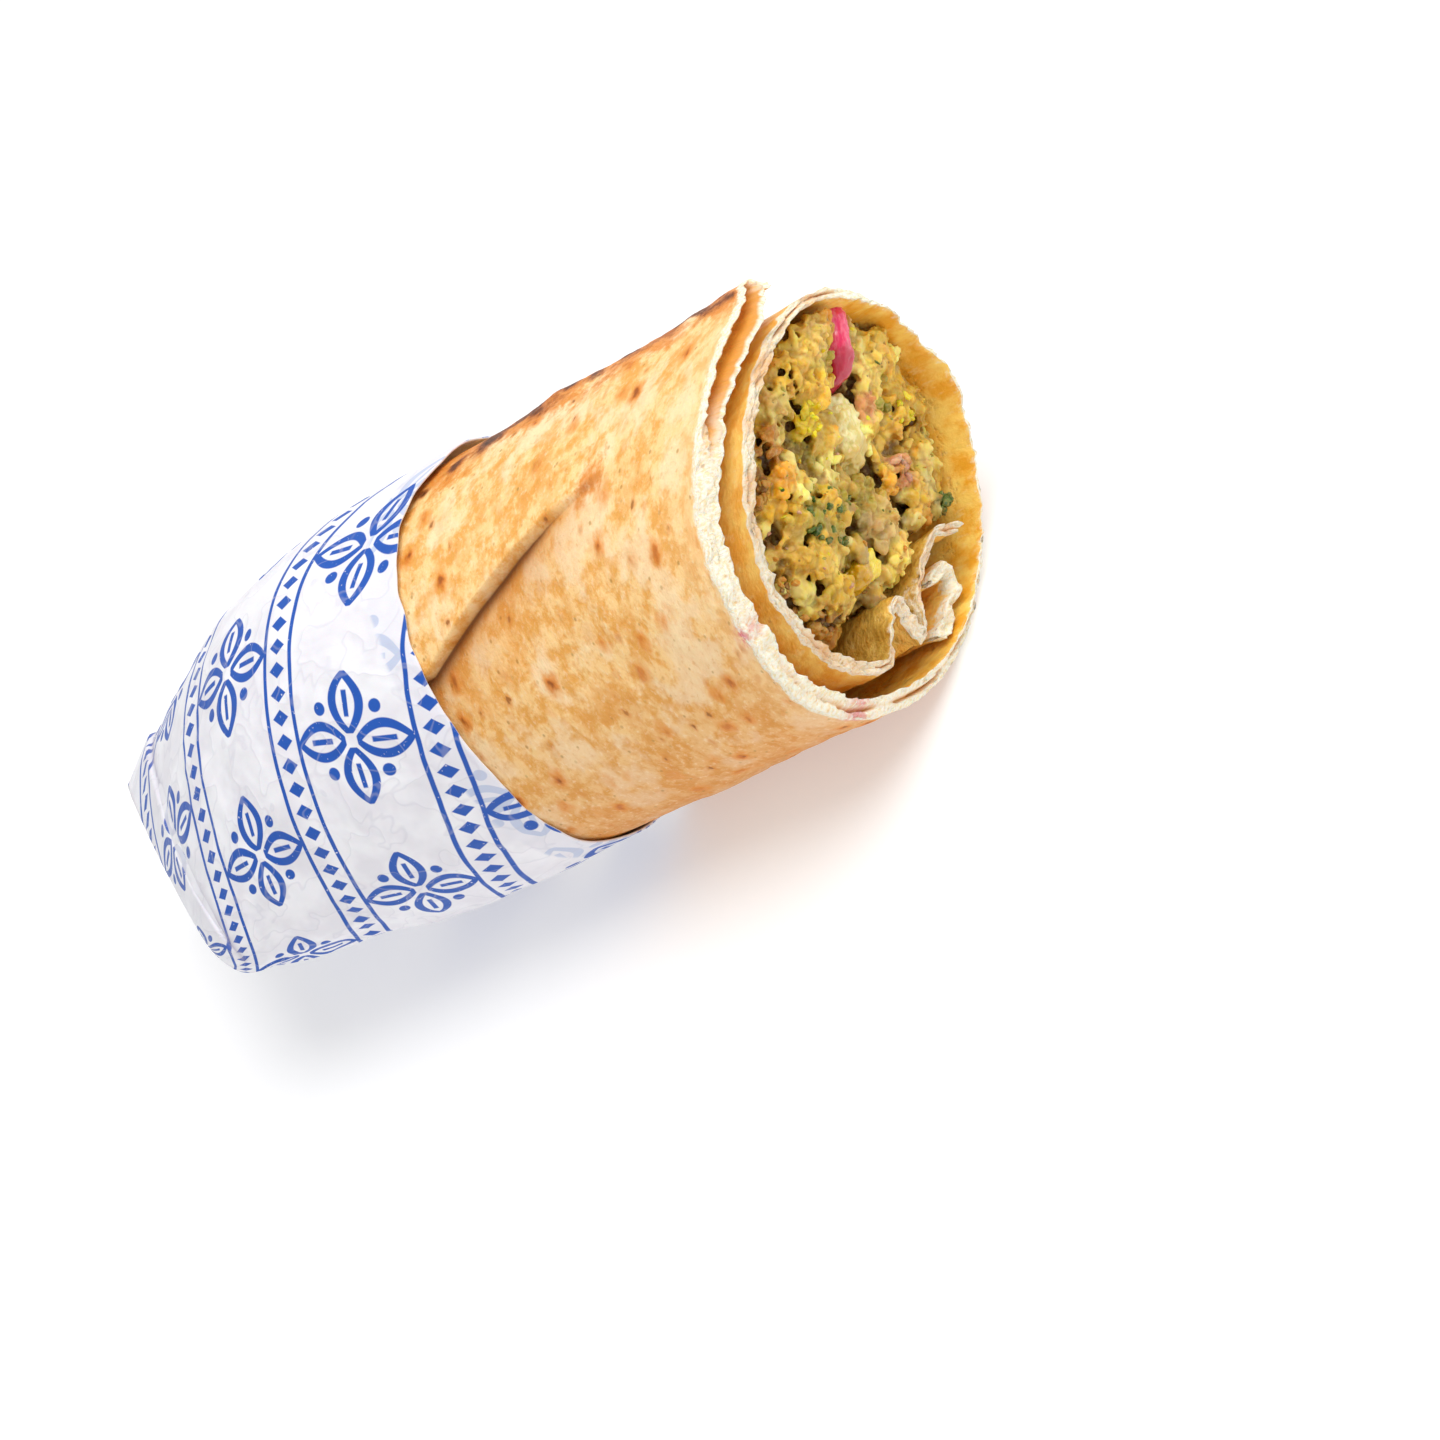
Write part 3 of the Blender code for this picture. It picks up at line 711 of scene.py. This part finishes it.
# The filling's larger crumbs: (y, z), radius, how far it stands out, colour
YELLOW, OLIVE, CREAM = rgb(232, 194, 76), rgb(206, 176, 72), rgb(238, 214, 132)
GOLD, CRUST, BROWN = rgb(236, 172, 48), rgb(196, 136, 46), rgb(140, 94, 34)
GREEN, DARK_GREEN, BRIGHT = rgb(160, 150, 48), rgb(58, 96, 14), rgb(242, 212, 16)
PALE, PINK, GREY = rgb(240, 230, 160), rgb(220, 158, 128), rgb(188, 168, 120)
NAMED_CLUMPS = [
    ((-2, 18), 3, 0.6, CREAM), ((8.9, 16), 3.4, 0.9, CREAM), ((3.4, 17), 3.2, 0.8, YELLOW),
    ((0.7, 11.4), 2.4, 0.9, BRIGHT), ((4.6, 12), 2.8, 0.7, YELLOW), ((-9.4, 13.2), 2.2, 0.6, GOLD),
    ((-6.9, 17), 2.2, 0.2, CRUST), ((-12.4, 15.4), 2.2, 0, BROWN), ((-19, 9.9), 2, 0.2, CRUST),
    ((-16.4, 12.6), 2, 0.1, CRUST), ((-9.2, 6), 2.6, 0.2, GREEN), ((-4.2, 1.7), 2.3, -0.3, GREEN),
    ((-9.2, 1.3), 2.5, 0.1, GREEN), ((-11.9, 7.6), 2.5, 0.3, OLIVE), ((-1.8, -8.6), 3.4, 0.2, GREY),
    ((-3.4, -14), 3.2, 0.4, CREAM), ((17.3, -7), 3, 0.3, YELLOW), ((20.2, -11.2), 3, 0.2, OLIVE),
    ((12.1, -0.3), 1.9, 0.4, PINK), ((8.2, -10.2), 2.4, 0.2, PINK), ((22, 1.5), 2.6, 0.2, YELLOW),
    ((10.6, -21), 1.6, 0.3, DARK_GREEN), ((-13.6, 2.2), 2.8, 0.5, YELLOW), ((-15.2, -3.4), 2.8, 0.4, OLIVE),
]
VOIDS = [((3.2, -12), 2.2), ((11, 5.2), 1.7), ((-14.2, 15.6), 1.2), ((-21, 2.7), 1.5), ((5.1, -4.6), 1.5),
         ((-5.2, -3.2), 1.6), ((-12.6, -8.2), 1.4)]
NAMED_LUMPS = [  # (y, z), size, colour
    ((-2, 17.6), 2.5, CREAM), ((8.9, 15.6), 2.8, CREAM), ((-1.8, -8.6), 2.7, GREY), ((-3.6, -14.2), 2.6, CREAM),
    ((13.4, 14.2), 1.9, YELLOW), ((17.6, 2), 2.3, CREAM), ((1.6, 6.6), 2, YELLOW), ((-6.8, 9.6), 1.9, CREAM),
    ((12.8, -6.4), 2.1, CREAM), ((-15, 4.8), 1.8, YELLOW), ((-9, -12.6), 1.9, GREY), ((20.6, -6.2), 1.8, YELLOW),
]
BITS = [  # (y, z), spread, how many, colour
    ((-9.4, 5.6), 2.6, 9, DARK_GREEN), ((-4.4, 1.7), 2.4, 9, DARK_GREEN), ((-9.2, 1.2), 2.6, 9, DARK_GREEN),
    ((10.6, -21.4), 1.2, 8, DARK_GREEN), ((15, -2.6), 2, 6, GREEN), ((0.7, 11.4), 1.6, 9, BRIGHT),
    ((17, -8), 2.2, 8, BRIGHT), ((8.2, -9.6), 2.2, 6, PINK),
]
STRIPS = {  # node: (y, z), length, width, depth, tilt, how far it stands out
    "pickled_turnip": ((15.3, 9), 11.6, 4, 12.6, 37, 2),
    "potato_strip": ((6.1, 1.3), 11.4, 5.8, 10.6, 50, 0),
    "pickle_piece": ((-8.4, -8), 5.8, 4.2, 7.6, -20, 0.4),
}
STRIP_LOOKS = {  # node: slot, main, light and dark colours, streak size, roughness, how far light sinks in, lumps
    "pickled_turnip": ("turnip", (232, 36, 96), (250, 122, 146), (180, 10, 50), 1.1, 0.14, 0.3, 0.35),
    "potato_strip": ("potato", (226, 208, 122), (246, 236, 176), (212, 182, 84), 0.7, 0.26, 0.4, 1),
    "pickle_piece": ("pickle", (234, 200, 20), (246, 226, 80), (204, 152, 14), 0.9, 0.2, 0.3, 0.9),
}


def rounded(level):
    """Points and triangles of a round crumb."""
    bm = bmesh.new()
    bmesh.ops.create_icosphere(bm, subdivisions=level, radius=1)
    points = np.array([v.co for v in bm.verts])
    faces = np.array([[v.index for v in f.verts] for f in bm.faces])
    bm.free()
    return points, faces


def scatter(draw, level, crumbs, lump):
    """Rough crumbs joined in one mesh: its points, triangles, tints and texture places.

    Each crumb has a place, a size along three axes and a colour.
    """
    base, base_faces = rounded(level)
    points, faces, tints, spots = [], [], [], []
    for k, (place, size, color) in enumerate(crumbs):
        turn = np.linalg.qr(draw.normal(size=(3, 3)))[0]
        offset = draw.uniform(0, 90, 3)
        form = 1 + lump * noise(60, *(base * 1.4 + offset).T)
        form += 0.45 * lump * noise(61, *(base * 3.6 + offset).T)
        local = (base * form[:, None] * np.asarray(size)) @ turn.T
        points.append(local + place)
        faces.append(base_faces + len(base) * k)
        tints.append(np.tile(color, (len(base), 1)))
        spots.append(local + offset * 3)
    return np.concatenate(points), np.concatenate(faces), np.concatenate(tints), np.concatenate(spots)


def in_strip(y, z, grow):
    """Whether (y, z) is over one of the larger strips, grown by that much."""
    hit = False
    for (sy, sz), length, width, _, tilt, _ in STRIPS.values():
        t = math.radians(tilt)
        along, over = (y - sy) * math.cos(t) + (z - sz) * math.sin(t), (z - sz) * math.cos(t) - (y - sy) * math.sin(t)
        hit = hit or (abs(along) < length / 2 + grow and abs(over) < width / 2 + grow)
    return hit


def in_void(y, z, share):
    return any(math.hypot(y - vy, z - vz) < radius * share for (vy, vz), radius in VOIDS)


def wall_share(y, z):
    """How far (y, z) is on its way from the axis to the wall."""
    return np.hypot(y, z) / filling_radius(np.degrees(np.arctan2(-y, z)), CUT_CENTRE)


def mash_x(y, z):
    """x of the mash. It falls back beside the wall: more at the front, where the wall stands clear of it."""
    angle, share = np.degrees(np.arctan2(-y, z)), wall_share(y, z)
    front = smooth(20, 50, angle) * smooth(150, 120, angle)
    bank = smooth(-118, -72, angle) * smooth(-20, -44, angle)
    fall = (1.2 - 0.9 * bank + 4.6 * front) * smooth(0.84 - 0.06 * front, 1.02, share)
    return face_x(y, z) - (fall - 2 * bank * smooth(0.45, 0.95, share))


def scatter_clumps(draw):
    """All the clumps of mash on the cut face as (y, z, radius, height, colour)."""
    clumps = [(*place, radius, height, color) for place, radius, height, color in NAMED_CLUMPS]
    palette = [YELLOW, OLIVE, PALE, GOLD, GREEN, CREAM, PALE, YELLOW]
    for _ in range(5000):
        angle, share = draw.uniform(0, 360), math.sqrt(draw.uniform(0, 1))
        y, z = (float(v) for v in on_face(angle, share))
        radius = draw.uniform(1.5, 3)
        if in_strip(y, z, 0.5) or any(math.hypot(y - vy, z - vz) < radius * 0.7 + r for (vy, vz), r in VOIDS):
            continue
        if all(math.hypot(y - c[0], z - c[1]) > 0.68 * (radius + c[2]) for c in clumps):
            color = palette[draw.integers(len(palette))]
            if share > 0.9 and 35 < angle < 125 and draw.uniform() < 0.6:
                color = CRUST if draw.uniform() < 0.7 else GOLD
            clumps.append((y, z, radius, draw.uniform(-2.3, 1), color))
    return clumps


def granules(draw, clumps):
    """The grains that each clump is made of, as (place, size, colour)."""
    grains = []
    for cy, cz, radius, lift, color in clumps:
        count = int(radius * radius * 2.3) + 3
        tone = draw.uniform(0.8, 1.16)
        for k in range(count):
            reach, turn = radius * math.sqrt((k + 0.5) / count), k * GOLDEN_ANGLE + cy
            y = cy + reach * math.cos(turn) + draw.normal() * 0.3
            z = cz + reach * math.sin(turn) + draw.normal() * 0.3
            size = draw.uniform(0.5, 1.05)
            if wall_share(y, z) > 1 or in_strip(y, z, 0.1) or in_void(y, z, 0.9):
                continue
            top = lift + 0.6 * radius * math.sqrt(max(1 - (reach / radius) ** 2, 0)) - 1.3
            place = (float(mash_x(y, z)) + top + draw.normal() * 0.3 - size * 0.5, y, AXIS_HEIGHT + z)
            shade = tone * draw.uniform(0.86, 1.08)
            form = size * draw.uniform(0.75, 1.3, 3)
            grains.append((place, form, np.clip(np.array(color) * shade * draw.uniform(0.93, 1.07, 3), 0, 1)))
    return grains


def fused(points, faces):
    """The joined crumbs as one skin, a little softened: its points, faces and outward directions."""
    mesh = bpy.data.meshes.new("fusing")
    mesh.from_pydata(points.tolist(), [], faces)
    obj = bpy.data.objects.new("fusing", mesh)
    bpy.context.scene.collection.objects.link(obj)
    remesh = obj.modifiers.new("fuse", "REMESH")
    remesh.mode = "VOXEL"
    remesh.voxel_size = VOXEL
    remesh.use_smooth_shade = True
    soften = obj.modifiers.new("soften", "SMOOTH")
    soften.factor, soften.iterations = 0.5, 1
    graph = bpy.context.evaluated_depsgraph_get()
    skin = bpy.data.meshes.new_from_object(obj.evaluated_get(graph))
    bpy.data.objects.remove(obj)
    bpy.data.meshes.remove(mesh)
    found = np.array([v.co for v in skin.vertices])
    outward = np.array([v.normal for v in skin.vertices])
    corners = [list(p.vertices) for p in skin.polygons]
    bpy.data.meshes.remove(skin)
    return found, corners, outward


def on_face(angle, share):
    """(y, z) of a place on the cut face, that share of the way to the wall."""
    return polar(angle, float(filling_radius(angle, CUT_CENTRE)) * share)


def chunks(draw):
    """The larger lumps in the mash, as (place, size, colour)."""
    lumps = list(NAMED_LUMPS)
    for _ in range(110):
        angle, share = draw.uniform(0, 360), math.sqrt(draw.uniform(0, 0.92))
        lumps.append((on_face(angle, share), draw.uniform(0.8, 1.9),
                      [CREAM, OLIVE, CREAM, YELLOW, GREY, PALE, PALE][draw.integers(7)]))
    return [((float(mash_x(*p)) - 0.5 - size * draw.uniform(0.4, 0.9), p[0], AXIS_HEIGHT + p[1]),
             size * draw.uniform(0.7, 1.2, 3), np.array(color)) for p, size, color in lumps
            if not in_strip(*p, 0.6) and not in_void(*p, 1.2)]


def make_mash(draw, material):
    """The body of the mash, with its front fused from grains: returns its points and faces."""
    clumps = scatter_clumps(draw)
    segments, rings = 200, 60
    angle = np.linspace(0, 360, segments, endpoint=False)
    share = np.concatenate([np.linspace(0.01, 1, rings), np.ones(8)])[:, None]
    depth = np.concatenate([np.zeros(rings), [1, 3, 6, 9, 20, 40, 70, 106]])[:, None]
    y, z = polar(angle, filling_radius(angle, CUT_CENTRE - depth) * share)
    hollow = sum(3.2 * smooth(radius * 1.3, radius * 0.4, np.hypot(y - vy, z - vz)) for (vy, vz), radius in VOIDS)
    x = np.maximum(mash_x(y, z) - MASH_DEPTH - hollow - depth, FILLING_START)
    points = listed(y.shape, x, y, AXIS_HEIGHT + z)
    # The front is fused with the grains, and the body behind it stays plain
    cap = rings + 4
    faces = sheet_faces(cap, segments, tube=True)
    plain, points = points[rings * segments:], points[:cap * segments]
    grains = granules(draw, clumps)
    crumbs = grains + chunks(draw)
    grain_points, grain_faces, _, _ = scatter(draw, 3, grains, 0.42)
    chunk_points, chunk_faces, _, _ = scatter(draw, 4, crumbs[len(grains):], 0.5)
    faces += (grain_faces + len(points)).tolist() + (chunk_faces + len(points) + len(grain_points)).tolist()
    skin, corners, outward = fused(np.concatenate([points, grain_points, chunk_points]), faces)
    # What lies deep behind the front is left out
    shown = skin[:, 0] - mash_x(skin[:, 1], skin[:, 2] - AXIS_HEIGHT) > -SHOWN_DEPTH
    corners = [face for face in corners if all(shown[k] for k in face)]
    used = np.unique(np.concatenate(corners))
    number = np.zeros(len(skin), int)
    number[used] = np.arange(len(used))
    corners = [number[face].tolist() for face in corners]
    skin, outward = skin[used], outward[used]
    # The colour of the nearest crumbs
    tree = KDTree(len(crumbs))
    for k, (place, _, _) in enumerate(crumbs):
        tree.insert(place, k)
    tree.balance()
    colors = np.array([color for _, _, color in crumbs])
    sizes = np.array([np.mean(size) for _, size, _ in crumbs])
    nearest = [tree.find_n(point, 4) for point in skin]
    which = np.array([[n[1] for n in near] for near in nearest])
    gap = np.array([[n[2] for n in near] for near in nearest]) / sizes[which]
    weight = np.exp(-((gap / gap.min(1, keepdims=True)) ** 2) * 2)
    weight /= weight.sum(1, keepdims=True)
    tint = np.einsum("nk,nkc->nc", weight, colors[which])
    lumpy = (weight * (which >= len(grains))).sum(1)
    # Crumbs of two sizes, with crevices between them; the larger lumps stay smoother
    amount = smooth(-14, -8, skin[:, 0] - face_x(skin[:, 1], skin[:, 2] - AXIS_HEIGHT)) * (1 - 0.7 * lumpy)
    coarse, number = crumbled(50, skin + 0.5 * noise(55, *skin.T)[:, None], 2.7)
    fine, finer = crumbled(60, skin, 1)
    relief = 0.5 * smooth(0, 0.5, coarse) + 0.03 * smooth(0, 0.45, fine) - 0.34
    skin += outward * (relief * amount)[:, None]
    # Painted shade: places that lie deeper behind the front of the mash are painted darker brown
    deep = smooth(-0.8, -2.6, skin[:, 0] - mash_x(skin[:, 1], skin[:, 2] - AXIS_HEIGHT))[:, None]
    tint *= (0.94 + (0.26 * number + 0.08 * finer) * (1 - 0.6 * lumpy))[:, None]
    broad = 1 + 0.17 * noise(65, *(skin / 4.5).T)
    tint *= np.stack([broad * 0.95, broad * 0.85, 0.34 + 0.34 * finer], 1)
    # Painted shade in the crevices between crumbs, weaker over the larger lumps
    seam = ((0.5 * smooth(0.24, 0, coarse) + 0.06 * smooth(0.12, 0, fine)) * (1 - 0.6 * lumpy))[:, None]
    tint = tint * (1 - seam) + np.array(rgb(158, 102, 8)) * seam
    tint = np.clip(tint * (1 - deep) + np.array(rgb(104, 64, 6)) * deep, 0, 1)
    plain_faces = sheet_faces(len(plain) // segments, segments, tube=True)
    corners += [[k + len(skin) for k in face] for face in plain_faces]
    everything = np.concatenate([skin, plain])
    settled = np.stack(settle(*(everything - [0, 0, AXIS_HEIGHT]).T), 1)
    piece = make_piece("filling_mash", settled, corners, "falafel_filling", material)
    give(piece, "tint", np.concatenate([tint, np.tile(OLIVE, (len(plain), 1))]))
    give(piece, "place", everything)
    return everything, corners


def make_filling():
    """The mash, and browned crust, herbs and bright bits on it."""
    draw = np.random.default_rng(SEED)
    material = mash_material()
    mash = make_mash(draw, material)
    bits = []
    for _ in range(60):
        angle = draw.uniform(30, 122)
        place = on_face(angle, draw.uniform(0.86, 0.97))
        bits.append((*place, draw.uniform(0.4, 1), CRUST if draw.uniform() < 0.6 else BROWN))
    for center, spread, count, color in BITS:
        for _ in range(count):
            at = draw.normal(size=2) * spread * 0.5
            bits.append((center[0] + at[0], center[1] + at[1], draw.uniform(0.45, 1), color))
    for _ in range(110):
        angle, share = draw.uniform(0, 360), math.sqrt(draw.uniform(0, 0.9))
        color = [GREEN, BRIGHT, CRUST, BRIGHT, GOLD, PINK, CRUST, DARK_GREEN][draw.integers(8)]
        bits.append((*on_face(angle, share), draw.uniform(0.2, 0.48), color))
    facing = BVHTree.FromPolygons([tuple(p) for p in mash[0]], mash[1])
    placed = []
    for y, z, size, color in bits:
        y, z = float(y), float(z)
        hit = facing.ray_cast(Vector((CUT_CENTRE + 40, y, AXIS_HEIGHT + z)), Vector((-1, 0, 0)))[0]
        if hit is None or in_strip(y, z, 0) or wall_share(y, z) > 0.97:
            continue
        form = size * np.array([draw.uniform(0.35, 0.7), draw.uniform(0.7, 1.3), draw.uniform(0.5, 1)])
        placed.append(((hit.x - 0.12 * size, y, AXIS_HEIGHT + z), form, np.array(color) * draw.uniform(0.7, 1.15)))
    points, faces, tints, spots = scatter(draw, 3, placed, 0.4)
    piece = make_piece("filling_bits", points, faces.tolist(), None, material)
    give(piece, "tint", tints)
    give(piece, "place", spots)


def make_strips():
    """The turnip, potato and pickle strips."""
    for name, ((sy, sz), length, width, depth, tilt, out) in STRIPS.items():
        slot, main, light, dark, streak, rough, weight, lumps = STRIP_LOOKS[name]
        base, faces = rounded(6)
        # A rounded block with soft irregular sides
        form = np.sign(base) * np.abs(base) ** np.array([0.8, 0.72, 0.5])
        local = form * np.array([length, width, depth]) / 2
        lump = 0.6 * noise(70, *(local / 2 + sy).T) + 0.5 * fractal(71, 2, *local.T)
        local += base * (lump * lumps)[:, None]
        t = math.radians(tilt)
        y = sy + local[:, 0] * math.cos(t) - local[:, 1] * math.sin(t)
        z = sz + local[:, 0] * math.sin(t) + local[:, 1] * math.cos(t)
        x = float(face_x(sy, sz)) + out - depth / 2 + local[:, 2] + (y - sy) * CUT_SLANT
        points = np.stack([x, y, AXIS_HEIGHT + z], 1)
        material = piece_material(slot + "_flesh", main, light, dark, streak, rough, weight)
        piece = make_piece(slot + "_slice", points, faces.tolist(), name, material)
        give(piece, "place", local + sy)
        give(piece, "low_end", smooth(0.1, -0.5, form[:, :1]) * 0.8)


def make_scrap(material):
    """A torn, folded strip of the sheet in the pocket beside its inner end."""
    line_y, line_z = curve([(-2.6, -21), (-0.9, -21.6), (0.9, -23), (1, -24.9), (-1.2, -26), (-4, -25.6),
                            (-6.6, -25.7), (-8.8, -24.6)], np.linspace(0, 1, 130))
    depth, w = stations(np.arange(9, 0, -0.3), 0, np.linspace(0.85, -0.85, 9), np.arange(0, 9, 0.3))
    cut_row = (np.abs(w) < 1).astype(float)
    step_y, step_z = np.gradient(line_y), np.gradient(line_z)
    length = np.hypot(step_y, step_z)
    along = np.cumsum(length) + 0 * depth
    from_end = np.minimum(along, along[:, -1:] - along)
    half = np.sqrt(1 - (1 - np.clip(from_end / 1.2, 0.03, 1)) ** 2)
    half *= 0.85 + 0.3 * noise(91, along / 2.2, w * 0.7)
    bent = 0.5 * noise(90, depth / 3.5, line_y / 4)
    outward = half * w + bent + 0.16 * noise(92, along / 0.8, depth / 0.9 + w)
    y, z = line_y + step_z / length * outward, line_z - step_y / length * outward
    torn = 0.8 * noise(93, along / 2, w * 0.8) + 0.4 * noise(94, along / 0.7, w * 2)
    x = CUT_CENTRE + cut_offset(y, z) - 1 - depth + torn * smooth(3, 0, depth)
    points = listed(y.shape, x, y, AXIS_HEIGHT + z)
    piece = make_piece("bread_scrap", points, sheet_faces(*y.shape), None, material)
    give_all(piece, y.shape, sheet=(along, np.sign(w) * depth + w, 40), from_cut=0.8 * depth - 4 * cut_row - 0.9,
             inside=(1 - cut_row) * 0.8)


def facets(seed, size, *axes):
    """Creased paper: flat facets that meet in sharp ridges and valleys, from about -1 to 1."""
    height = 0
    for k in range(3):
        turn = [np.cos(1.1 * k + 0.3), np.sin(1.1 * k + 0.3)]
        bent = noise(seed + 10 + k, *[axis / (size * 1.8) for axis in axes])
        line = (axes[-1] * turn[0] + axes[0] * turn[1]) / size + 1.5 * bent
        height = height + np.abs((line % 2) - 1) * 2 - 1
    return height / 3


def make_sleeve():
    """The paper: a thin creased shell with a doubled mouth and a flattened, folded end."""
    angle = np.linspace(-110, 250, 460, endpoint=False)
    skin = np.concatenate([np.linspace(CLOSED_END, -50, 40)[:-1], np.linspace(-50, SLEEVE_MOUTH, 110)])
    back = np.concatenate([np.linspace(SLEEVE_MOUTH, -20, 26), np.linspace(-20, CLOSED_END + 0.6, 20)[1:]])
    x, w = stations(skin, SLEEVE_MOUTH, [0.6, 0, -0.6], back)
    at_back = smooth(-1, 0.8, -np.sin(np.radians(angle + 25)))
    near_mouth = smooth(-14, SLEEVE_MOUTH, x)
    # Creases: soft folds, flat facets with sharp ridges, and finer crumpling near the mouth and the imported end
    cy, cz = np.cos(np.radians(angle)) * SLEEVE_RADIUS, np.sin(np.radians(angle)) * SLEEVE_RADIUS
    soft = noise(80, cy / 13, cz / 13, x / 17)
    broad = facets(81, 15, cy, cz, x)
    narrow = facets(85, 5.5, cy, cz, x)
    packed = smooth(-20, -58, x)
    crumpled = smooth(-0.2, 0.7, noise(86, cy / 12, cz / 12, x / 12))
    crease = 0.3 * soft + 0.55 * broad * (0.7 + 0.6 * packed) + 0.3 * narrow * (0.25 + crumpled + 0.5 * packed) - 0.55
    # Gathers that run towards the flattened end, and its folded-over strip
    gathers = np.abs(noise(83, cy / 5, cz / 5, x / 60)) * packed * 1.1
    strip = CLOSED_END + 7.5 + 1.2 * noise(87, cy / 16, cz / 16)
    radius = SLEEVE_RADIUS - 0.15 + MOUTH_FLARE * at_back * near_mouth - SLEEVE_TOP_SINK * top_flatness(angle)
    radius = radius + crease - gathers * 0.6 - (1 - w) / 2 * PAPER
    y, z = polar(angle, radius)
    edge = (1.1 * noise(84, cy / 12, cz / 12) + 0.35 * noise(88, cy / 3.5, cz / 3.5)) * near_mouth
    px, py, pz = settle(x + MOUTH_REACH * at_back * near_mouth + edge + 0.12 * (1 - w * w), y, z)
    pz = pz + 0.9 * smooth(strip + 0.5, strip - 0.5, x) * np.clip(z / 8, 0, 1)
    faces = [face[::-1] for face in sheet_faces(*y.shape, tube=True)]
    piece = make_piece("paper", listed(y.shape, px, py, pz), faces, "paper_sleeve", paper_material())
    cuff = SLEEVE_MOUTH - 5 + 1.2 * noise(89, cy / 9, cz / 9)
    # fold: a painted shadow along the line where the flattened end's strip is folded over, stronger on the mouth's
    # side of it
    fold = np.exp(-np.abs(x - strip - 0.5) / 0.7) * np.where(x > strip + 0.5, 0.85, 0.4) * np.clip(z / 4, 0, 1)
    give_all(piece, y.shape, sheet=(np.radians(angle) * SLEEVE_RADIUS, x, 0), inside=w < 0.5,
             double=smooth(cuff - 0.3, cuff + 0.1, x) * (w > 0.5), fold=fold * (w > 0.5))


def make_camera():
    """The photo's view of the roll: its right, up and back directions in the frame's axes."""
    right, up = Vector((0.7867, 0.0053, -0.6173)), Vector((0.4183, 0.7308, 0.5394))
    back = Vector((0.4540, -0.6826, 0.5727))
    distance = PIXELS / PIXELS_PER_MM * LENS / SENSOR
    axis = Vector((SHIFT[0], SHIFT[1], AXIS_HEIGHT))
    place = axis + back * distance
    aside = (AXIS_AT[0] - PIXELS / 2) / PIXELS * SENSOR / LENS
    above = (PIXELS / 2 - AXIS_AT[1]) / PIXELS * SENSOR / LENS
    target = axis - right * aside * distance - up * above * distance
    b = (place - target).normalized()
    r = (right - b * right.dot(b)).normalized()
    v = b.cross(r)
    data = bpy.data.cameras.new("photo_view")
    data.lens, data.sensor_width = LENS, SENSOR
    data.clip_start, data.clip_end = 0.01, 20
    camera = bpy.data.objects.new("photo_view", data)
    bpy.context.scene.collection.objects.link(camera)
    camera.matrix_world = Matrix((*zip(r, v, b, place * MM), (0, 0, 0, 1)))
    bpy.context.scene.camera = camera


def make_stage():
    """White floor, white surroundings and one large soft lamp."""
    bpy.ops.mesh.primitive_plane_add(size=8)
    floor = bpy.context.object
    floor.name = "floor"
    net = Net("white_floor")
    grain = net.noise(net.nodes.new("ShaderNodeTexCoord").outputs["Object"], 0.4, 2)
    color = net.mix(grain, (213, 213, 213), (215, 215, 215))
    floor.data.materials.append(net.finish(color, 0.9, net.bump(grain, 0.01, 0.05), Specular_IOR_Level=0,
                                           Emission_Color=(1, 1, 1, 1), Emission_Strength=0.36))
    world = bpy.data.worlds.new("white")
    bpy.context.scene.world = world
    world.use_nodes = True
    sky = world.node_tree.nodes["Background"].inputs
    sky[0].default_value, sky[1].default_value = (1, 1, 1, 1), 0.6
    lamp = bpy.data.lights.new("key", "AREA")
    lamp.shape, lamp.size, lamp.energy = "DISK", 0.9, 8.4
    key = bpy.data.objects.new("key", lamp)
    bpy.context.scene.collection.objects.link(key)
    key.location = LAMP
    key.rotation_euler = (LAMP_TARGET - LAMP).to_track_quat("-Z", "Y").to_euler()
    bpy.context.scene.view_settings.view_transform = "Standard"


make_camera()
make_stage()
bread = bread_material()
make_bread(bread)
make_filling()
make_strips()
make_scrap(bread)
make_sleeve()
